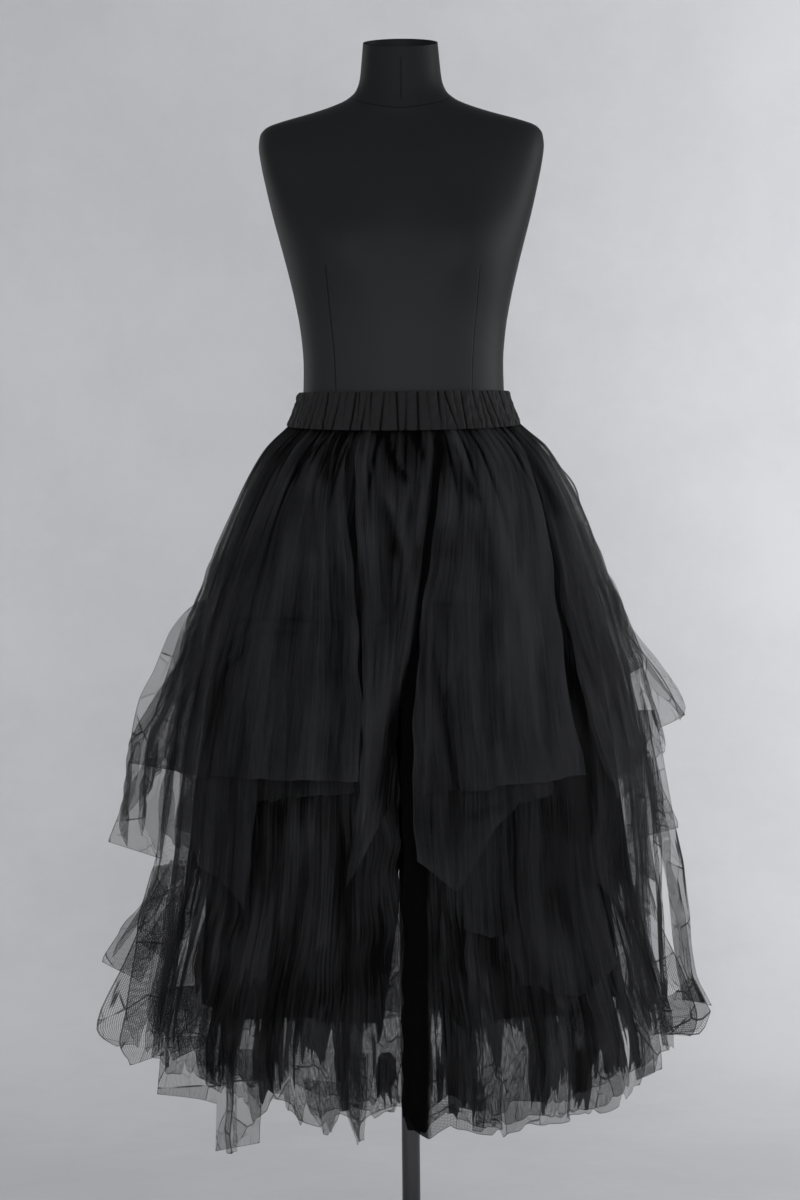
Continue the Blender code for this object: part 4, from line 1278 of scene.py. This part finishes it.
def net_ply(petal, hang, number, seed):
    name, ply = petal.name, PLIES[number]
    stacked, long = hang.plies == len(PLIES), name.startswith("long")
    width, length = cut_size(petal, hang)
    row_step = PRESSED_ROW_STEP if name in PRESSED else ROW_STEP * (STACKED_ROWS if stacked else 1.0)
    columns, rows = int(width / hang.step) + 6, int(length / row_step) + 6
    across, down = across_and_down(columns, rows)
    if stacked:
        down = 1 - (1 - down) ** 1.35
    u, v = across * width, down * length

    # where the raw hem and the two raw edges run
    spikes = hang.spikes * (CALM if name in CALM_HEMS else 1.0)
    hem = even_steps(petal.hem, across) + ragged(u, spikes, seed) + ply.hem
    height = BAND_FOOT - SEAM_GAP - (BAND_FOOT - SEAM_GAP - hem) * down
    left, right = through_three(petal.left, down), through_three(petal.right, down)
    if long:
        left = left - ply.left * down * (name != "long_front")
        right = right + ply.right * down * (name != "long_front_left")
    reach = read_table(SPREADS, 4, height)
    span = np.radians(right - left) * reach
    gap = (reach - read_table(SPREADS, 1, height)) / TOP_RANK
    edge = np.minimum(across, 1 - across) * span

    # crushed facets and pleats
    crush = hang.crush * smooth_step((down - hang.crush_from) / 0.40)
    at_edges = 0.22 if hang.crush < 0.2 else 0.0
    crush = crush + at_edges * np.exp(-edge / 0.014) * smooth_step((down - 0.2) / 0.3)
    crush = np.clip(crush * (0.75 + 0.35 * soft_noise(u, v, 0.16, seed + 8)), 0.0, 1.0)
    inward, sideways = crumple(u, v, hang, crush, seed)
    slide, lift = 0.0, 0.0
    if hang.pleats * width >= 1:
        loose = smooth_step((0.52 - height) / 0.16) if stacked else smooth_step((down - 0.2) / 0.5)
        slide, lift = pleat(u, seed + 50, int(hang.pleats * width), PLEAT_WIDTH, PLEAT_STRENGTH, down)
        slide, lift = slide * loose, lift * loose

    # the angle of each point, and how far it lies out from its layer
    wander = (0.0012 + 0.0020 * hang.crush) * soft_noise(v, v * 0.3, 0.09, seed + 7) * (1 - 2 * across) ** 2
    angle = left + (right - left) * across + np.degrees((slide * span / width + wander + sideways) / reach)
    curl = np.exp(-edge / 0.010) * smooth_step(down / 0.3) * (0.5 + 0.5 * soft_noise(v, u, 0.10, seed + 9))
    common = soft_noise(np.radians(angle) * 0.30, height * 0.25, 0.15, 77)
    common = common * (0.0015 + 0.30 * gap) * hang.folds
    own = common + 0.16 * gap * curl - 0.33 * gap * ply.inward + inward + lift * np.minimum(1, gap / 0.012)
    kick, kick_from = KICKS.get(name, (0.0, 0.8))
    own = own + kick * ply.kick * smooth_step((kick_from - height) / KICK_OVER)
    if name == "top_centre":
        own = own - 0.5 * gap * smooth_step((across - 0.55) / 0.3)
    gathered = 0 * angle if stacked else gather_depth(angle, height, reach)
    points = skirt_point(angle, height, petal.rank, own - gathered - NET_INSET, hang.folds)
    placed = hand_folds(name, points)
    points = skirt_point(angle, height, petal.rank, own - gathered - placed - NET_INSET, hang.folds)

    # what the material reads
    cover = hang.cover_top + (hang.cover_hem - hang.cover_top) * smooth_step(down * 1.15 - 0.1)
    dense = denseness(angle, height) - ply.thinner if long else 0.2 * crush - 1.0
    if name == "long_front_left":
        parting = smooth_step((angle + 1.4 + 22 * (0.55 - height)) / 0.8)
        parting = parting * smooth_step((height - 0.325) / 0.012)
        dense = dense - 2.5 * parting * (height < 0.56)
    # painted light and shade: lighter on the folds' crests and the listed folds' ridges, painted shade in the
    # gathers' grooves and the listed folds' troughs, with random soft patches
    wave = 0.14 * fold_wave(angle, False) * smooth_step(down / 0.3)
    relief = wave - 2.3 * gathered / GATHER_DEPTH - 0.9 * np.tanh(placed / 0.0052)
    relief = relief + 0.2 * soft_noise(u, v * 0.4, 0.08, seed + 33)
    # a painted shadow just under the band
    relief = relief + 0.25 - 0.9 * np.exp(-v / 0.007)
    # painted shade on the inner layers, which lie in the skirt's shade
    relief = relief - RANK_PAINTED_SHADE[petal.rank]
    relief, cover = painted_light_on_petals(name, points[..., 0], height, relief, cover)
    values = {"cover": cover, "crush": crush, "dense": dense, "bolt": BOLT_STEP * seed}
    values["relief"] = np.clip(relief, DARKEST, LIGHTEST)
    values["edge"] = np.minimum(edge, (1 - down) * (BAND_FOOT - hem))
    return net_sheet("ply", width, length, points, u, down, values), width, length


# %% [markdown]
# Corners of the petals swing out past the layers and face forwards, sideways or back. Each one is a sheet
# between two lines read off the photograph: an inner line, hidden in its layer, and an outer raw edge.

# %% Corners listed one by one
# petal, turn round the skirt in degrees, plies, then the inner and the outer line from the top down, as
# points in millimetres: out from the pole, height, and sideways where that isn't 0
Corner = namedtuple("Corner", "petal turn plies inner outer")
LEFT_CORNERS = [Corner(*row) for row in (
    ("top_side_left", -90, 2, [(255, 866), (262, 736), (276, 640, 10)],
     [(264, 862), (282, 847), (298, 826, 5), (315, 792, 10), (331, 756, 12), (340, 730, 12), (349, 696, 15),
      (351, 654, 18)]),
    ("mid_side_left", -90, 1, [(298, 668), (306, 600, 10), (312, 532, 15)],
     [(330, 664), (340, 647), (362, 606, 10), (378, 555, 20)]),
    ("low_side_left", -90, 1, [(300, 530), (312, 444), (345, 372, -10)],
     [(318, 529), (337, 478), (358, 457, -10), (367, 446, -15), (389, 400, -20)]),
    ("low_side_left", -90, 1, [(285, 530, 20), (292, 420, 20), (300, 340, 20), (316, 279, 20)],
     [(317, 529, 10), (337, 479, 10), (345, 424, 10), (353, 377, 15), (361, 334, 20), (368, 303, 20),
      (363, 287, 10), (349, 275)]),
    ("low_side_left", -90, 2, [(247, 385, 70), (250, 330, 70), (252, 308, 70)],
     [(309, 381, 50), (305, 321, 50), (299, 282, 50)]),
    ("long_side_left", -90, 1, [(247, 310), (248, 217)],
     [(314, 310), (321, 231, -10)]),
    ("long_front_left", -43, 1, [(292, 330, -36), (296, 260, -37), (300, 197, -36)],
     [(292, 330, 36), (300, 270, 34), (302, 215, 33)]),
    ("long_front_left", -43, 2, [(300, 320, -20), (302, 198, -19)],
     [(300, 320, -8), (303, 198, -6)]),
    ("long_front_left", -22, 1, [(288, 300, -22), (290, 262, -15), (291, 233, 8)],
     [(288, 300, 34), (290, 262, 34), (291, 231, 13)]),
    ("long_front_left", -13, 3, [(290, 330, -20), (291, 262, -14), (292, 222, 2)],
     [(290, 330, 16), (291, 262, 12), (292, 222, 6)]),
)]
RIGHT_CORNERS = [Corner(*row) for row in (
    ("top_corner_right", 90, 1, [(258, 872), (275, 800), (302, 740), (322, 691)],
     [(262, 872), (276, 850), (301, 792, -5), (357, 709, -10)]),
    ("top_side_right", 90, 1, [(172, 1049), (196, 1015), (208, 990), (226, 950)],
     [(176, 1051), (203, 1021), (215, 1005), (221, 994), (221, 976), (230, 955)]),
    ("top_side_right", 90, 2, [(218, 955), (248, 870), (262, 820), (285, 760)],
     [(226, 962), (247, 917), (262, 874), (272, 868, -5), (277, 858, -10), (275, 845), (282, 824),
      (303, 770)]),
    ("mid_side_right", 90, 2, [(292, 720), (308, 600), (330, 500), (335, 420), (347, 345)],
     [(314, 720), (320, 689), (330, 626), (337, 581), (349, 515, 5), (359, 465), (360, 407, -5), (364, 378),
      (383, 339, -10)]),
    ("mid_side_right", 90, 2, [(284, 660, -20), (291, 560, -20), (295, 470, -20), (298, 400, -20),
        (302, 335, -20)],
     [(300, 660, -20), (303, 560, -20), (306, 470, -20), (309, 410, -20), (311, 345, -20)]),
    ("mid_side_right", 90, 2, [(304, 660), (311, 560), (315, 470), (317, 400), (322, 335)],
     [(313, 660), (321, 560), (326, 470), (326, 410), (330, 345)]),
    ("mid_side_right", 90, 1, [(311, 347), (335, 352, 10), (354, 380), (366, 372)],
     [(309, 333), (325, 303, 10), (347, 307), (370, 303, -10), (381, 338, -10)]),
    ("long_side_right", 90, 2, [(270, 500, -30), (272, 400, -30), (276, 300, -30), (284, 250, -30)],
     [(301, 500, -20), (301, 437, -20), (307, 363, -20), (321, 260, -20)]),
)]
# the same corners, turned, where the photograph doesn't show the skirt: the corner, the petal, the turn
TURNED_CORNERS = [
    (LEFT_CORNERS[0], "top_back_left", -142), (LEFT_CORNERS[1], "mid_back_left", -126),
    (LEFT_CORNERS[2], "long_back_left", -118), (RIGHT_CORNERS[4], "mid_back_left", -168),
    (LEFT_CORNERS[3], "long_back_left", -104), (LEFT_CORNERS[3], "long_back_right", 112),
    (LEFT_CORNERS[0], "top_back_right", 128), (RIGHT_CORNERS[3], "mid_back_right", 150),
    (LEFT_CORNERS[2], "long_back_right", 134), (LEFT_CORNERS[1], "mid_back_right", 108),
]
# size of a corner's grid across and down, and of its facets; how narrow each ply is, and how far apart they
# lie
CORNER_STEPS = (0.0035, 0.0045)
CORNER_FACETS = (0.034, 0.048)
CORNER_PLIES = (1.0, 0.72, 0.86)
CORNER_PLY_GAP = 0.006
CORNER_BEND = 0.012


def in_metres(line):
    return np.array([(*point, 0)[:3] for point in line]) / 1000


def along_line(line, share):
    """Points at shares of the way along a line, with its bends slightly rounded"""
    steps = np.concatenate([[0.0], np.cumsum(np.linalg.norm(np.diff(line, axis=0), axis=1))])
    share = np.clip(share, 0, 1) * steps[-1]
    before, at, after = (
        np.stack([np.interp(share + off, steps, line[:, k]) for k in range(3)], axis=-1)
        for off in (-CORNER_BEND, 0, CORNER_BEND)
    )
    return 0.25 * before + 0.5 * at + 0.25 * after


def corner_sheet(corner, number, seed, fitted):
    """One ply of a corner, between its inner and outer lines"""
    lines = in_metres(corner.inner), in_metres(corner.outer)
    widest = max(math.dist(lines[0][end], lines[1][end]) for end in (0, -1))
    length = max(math.dist(line[0], line[-1]) for line in lines)
    columns, rows = int(1.3 * widest / CORNER_STEPS[0]) + 6, int(length / CORNER_STEPS[1]) + 4
    across, down = across_and_down(columns, rows)
    shorter = CORNER_PLIES[number]
    inner, outer = (along_line(line, down) for line in lines)
    sideways = outer - inner
    place = inner + sideways * (across * shorter)[..., None]
    u, v = across * widest * shorter, down * length
    fold_a, fold_b = crease_map(u, v, CORNER_FACETS, 40 * math.sin(seed), seed + 20)
    falling = along_line(lines[0], down + 0.03) - along_line(lines[0], down - 0.03)
    falling = falling + along_line(lines[1], down + 0.03) - along_line(lines[1], down - 0.03)
    facing = np.cross(falling, sideways)
    facing /= np.maximum(np.linalg.norm(facing, axis=-1, keepdims=True), 1e-9)
    bend = 0.008 * facets(fold_a, fold_b, seed + 40) * smooth_step(across / 0.3)
    bend = bend + 0.010 * np.sin(2.2 * across + seed)
    place += facing * (bend + CORNER_PLY_GAP * number)[..., None]
    place[..., 0] += 0.0025 * facets(fold_a, fold_b, seed + 42) * across
    turn = math.radians(corner.turn)
    if fitted:
        turned = np.full(down.shape, float(corner.turn))
        x, y, _ = np.moveaxis(skirt_point(turned, place[..., 1], 4, 0.0, 0.0), -1, 0)
        place[..., 0] *= np.hypot(x, y) / read_table(SPREADS, 4, place[..., 1])
    out, height, side = np.moveaxis(place, -1, 0)
    x, y = out * math.sin(turn) + side * math.cos(turn), side * math.sin(turn) - out * math.cos(turn)
    values = {"cover": 0.0, "crush": 0.85, "relief": 0.0, "bolt": BOLT_STEP * seed}
    values["edge"] = np.minimum((1 - across) * widest * shorter, (1 - down) * length)
    values["dense"] = -0.45 if corner.petal == "mid_side_right" else -0.85
    return net_sheet("corner", widest, length, np.stack([x, y, height], axis=-1), u, down, values)


CORNERS = [(corner, False) for corner in LEFT_CORNERS + RIGHT_CORNERS]
CORNERS += [(like._replace(petal=petal, turn=turn), True) for like, petal, turn in TURNED_CORNERS]
print(len(CORNERS), "corners placed by hand")


# %% Make one petal
def make_petal(petal, seed):
    hang = hang_of(petal.name)
    plies = [net_ply(petal, hang, number, seed + 1000 * number) for number in range(hang.plies)]
    sheets = [sheet for sheet, _, _ in plies]
    for k, (corner, fitted) in enumerate(CORNERS):
        if corner.petal == petal.name:
            for number in range(corner.plies):
                sheets.append(corner_sheet(corner, number, 31 * k + 5 * number, fitted))
    take(sheets[0])
    for sheet in sheets[1:]:
        sheet.select_set(True)
    if len(sheets) > 1:
        bpy.ops.object.join()
    piece = named(bpy.context.object, "net_" + petal.name)
    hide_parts("tulle_" + petal.name)
    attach(piece, "root")
    _, width, length = plies[0]
    size = round(measure(piece), 3)
    print(piece.name, finish_mesh(piece), "triangles", round(width, 3), round(length, 3), size)
    return piece


# %% Make all petals
petals = [make_petal(petal, 100 + 7 * k) for k, petal in enumerate(PETALS)]
print(len(petals), "petals laid")

# %% [markdown]
# ## Studio
#
# The photograph was taken against a painted canvas sweep: pale grey, mottled, brighter at the right. A wide
# floor carries a narrow sweep that curves up into a wall behind the form, so that the form can be seen from
# its other sides too. The light is large and soft, from in front at about waist height and weaker from both
# sides, because the surfaces that face the camera are the brightest. One light more washes the canvas from
# the right.

# %% Floor and backdrop
SWEEP_HALF, SWEEP_FRONT, SWEEP_BACK = 1.4, -1.5, 1.1
SWEEP_RADIUS, SWEEP_STEPS, SWEEP_WALL = 1.4, 16, 1.6
FLOOR_SIZE, FLOOR_DROP = 60.0, 0.0003
canvas, tree, shader = new_material("painted_canvas", (0.62, 0.62, 0.64), 0.9, Specular_IOR_Level=0.1)
place = object_place(tree)
blotches = noise(tree, place, 2.2, 8.0, "3D", Roughness=0.6)
strokes = noise(tree, place, 22.0, 4.0, "3D", Roughness=0.7)
mix = maths(tree, "ADD", maths(tree, "MULTIPLY", blotches, 0.8), maths(tree, "MULTIPLY", strokes, 0.2))
paint(tree, shader, two_tones(tree, ramp(tree, mix, 0.35, 0.65), (0.615, 0.615, 0.633), (0.665, 0.665, 0.68)))
deselect()
bpy.ops.mesh.primitive_plane_add(size=1.0, location=(0, 0, 0))
sweep = named(bpy.context.object, "canvas_sweep")
place_points(sweep, [(x, y, 0) for y in (SWEEP_FRONT, SWEEP_BACK) for x in (-SWEEP_HALF, SWEEP_HALF)])
select_edges(sweep, lambda edge: all(v.co.y > 1.0 for v in edge.verts))
for k in range(1, SWEEP_STEPS + 1):
    a, b = (math.radians(90 * step / SWEEP_STEPS) for step in (k - 1, k))
    move = (0, SWEEP_RADIUS * (math.sin(b) - math.sin(a)), SWEEP_RADIUS * (math.cos(a) - math.cos(b)))
    bpy.ops.mesh.extrude_region_move(TRANSFORM_OT_translate={"value": move})
bpy.ops.mesh.extrude_region_move(TRANSFORM_OT_translate={"value": (0, 0, SWEEP_WALL)})
for_all_faces(bpy.ops.mesh.normals_make_consistent, inside=False)
sweep.data.materials.append(canvas)
finish_mesh(sweep)
deselect()
bpy.ops.mesh.primitive_plane_add(size=FLOOR_SIZE, location=(0, 0, -FLOOR_DROP))
studio_floor = named(bpy.context.object, "studio_floor")
bpy.ops.object.transform_apply(location=True)
studio_floor.data.materials.append(canvas)
sweep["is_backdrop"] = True
studio_floor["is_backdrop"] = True
print("floor and sweep ready")


# %% Lights
def soft_light(name, location, aim, size, power, colour=(1.0, 1.0, 1.0)):
    deselect()
    bpy.ops.object.light_add(type="AREA", location=location)
    light = bpy.context.object
    light.name = name
    light.data.shape = "RECTANGLE"
    light.data.size, light.data.size_y = size
    light.data.energy, light.data.color = power, colour
    light.visible_camera = False
    light.rotation_euler = (Vector(aim) - Vector(location)).to_track_quat("-Z", "Y").to_euler()
    print(name, power, "W")


soft_light("front_window", (0.1, -4.4, 1.15), (0, 0, 1.05), (1.5, 1.2), 69.0)
soft_light("right_window", (2.6, -2.2, 1.3), (0, 0, 0.9), (1.6, 2.2), 18.0)
soft_light("left_window", (-2.6, -2.0, 1.2), (0, 0, 0.9), (1.4, 2.0), 15.0)
soft_light("back_window", (-2.2, 2.0, 1.7), (0, 0, 0.9), (1.2, 1.6), 9.0)
soft_light("canvas_wash", (2.7, 0.7, 1.5), (-0.2, 2.6, 1.1), (1.4, 1.8), 58.0, (0.98, 0.985, 1.0))
world = bpy.data.worlds.new("studio_room")
world.use_nodes = True
world.node_tree.nodes["Background"].inputs["Color"].default_value = (0.60, 0.61, 0.63, 1.0)
world.node_tree.nodes["Background"].inputs["Strength"].default_value = 0.45
bpy.context.scene.world = world
bpy.context.scene.view_settings.view_transform = "Standard"
bpy.context.scene.cycles.transparent_max_bounces = 32
print("studio lit")

# %% [markdown]
# ## Finish
#
# The bounds of the plain model and of the dressed one are printed side by side. The
# dressed model must fill the same space as the plain one.

# %% Sizes and finish
visual_low, visual_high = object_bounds()
boxes = [
    "model " + " ".join(f"{v:.4f}" for v in (*cad_low, *cad_high)),
    "dressed " + " ".join(f"{v:.4f}" for v in (*visual_low, *visual_high)),
]
print("\n".join(boxes))
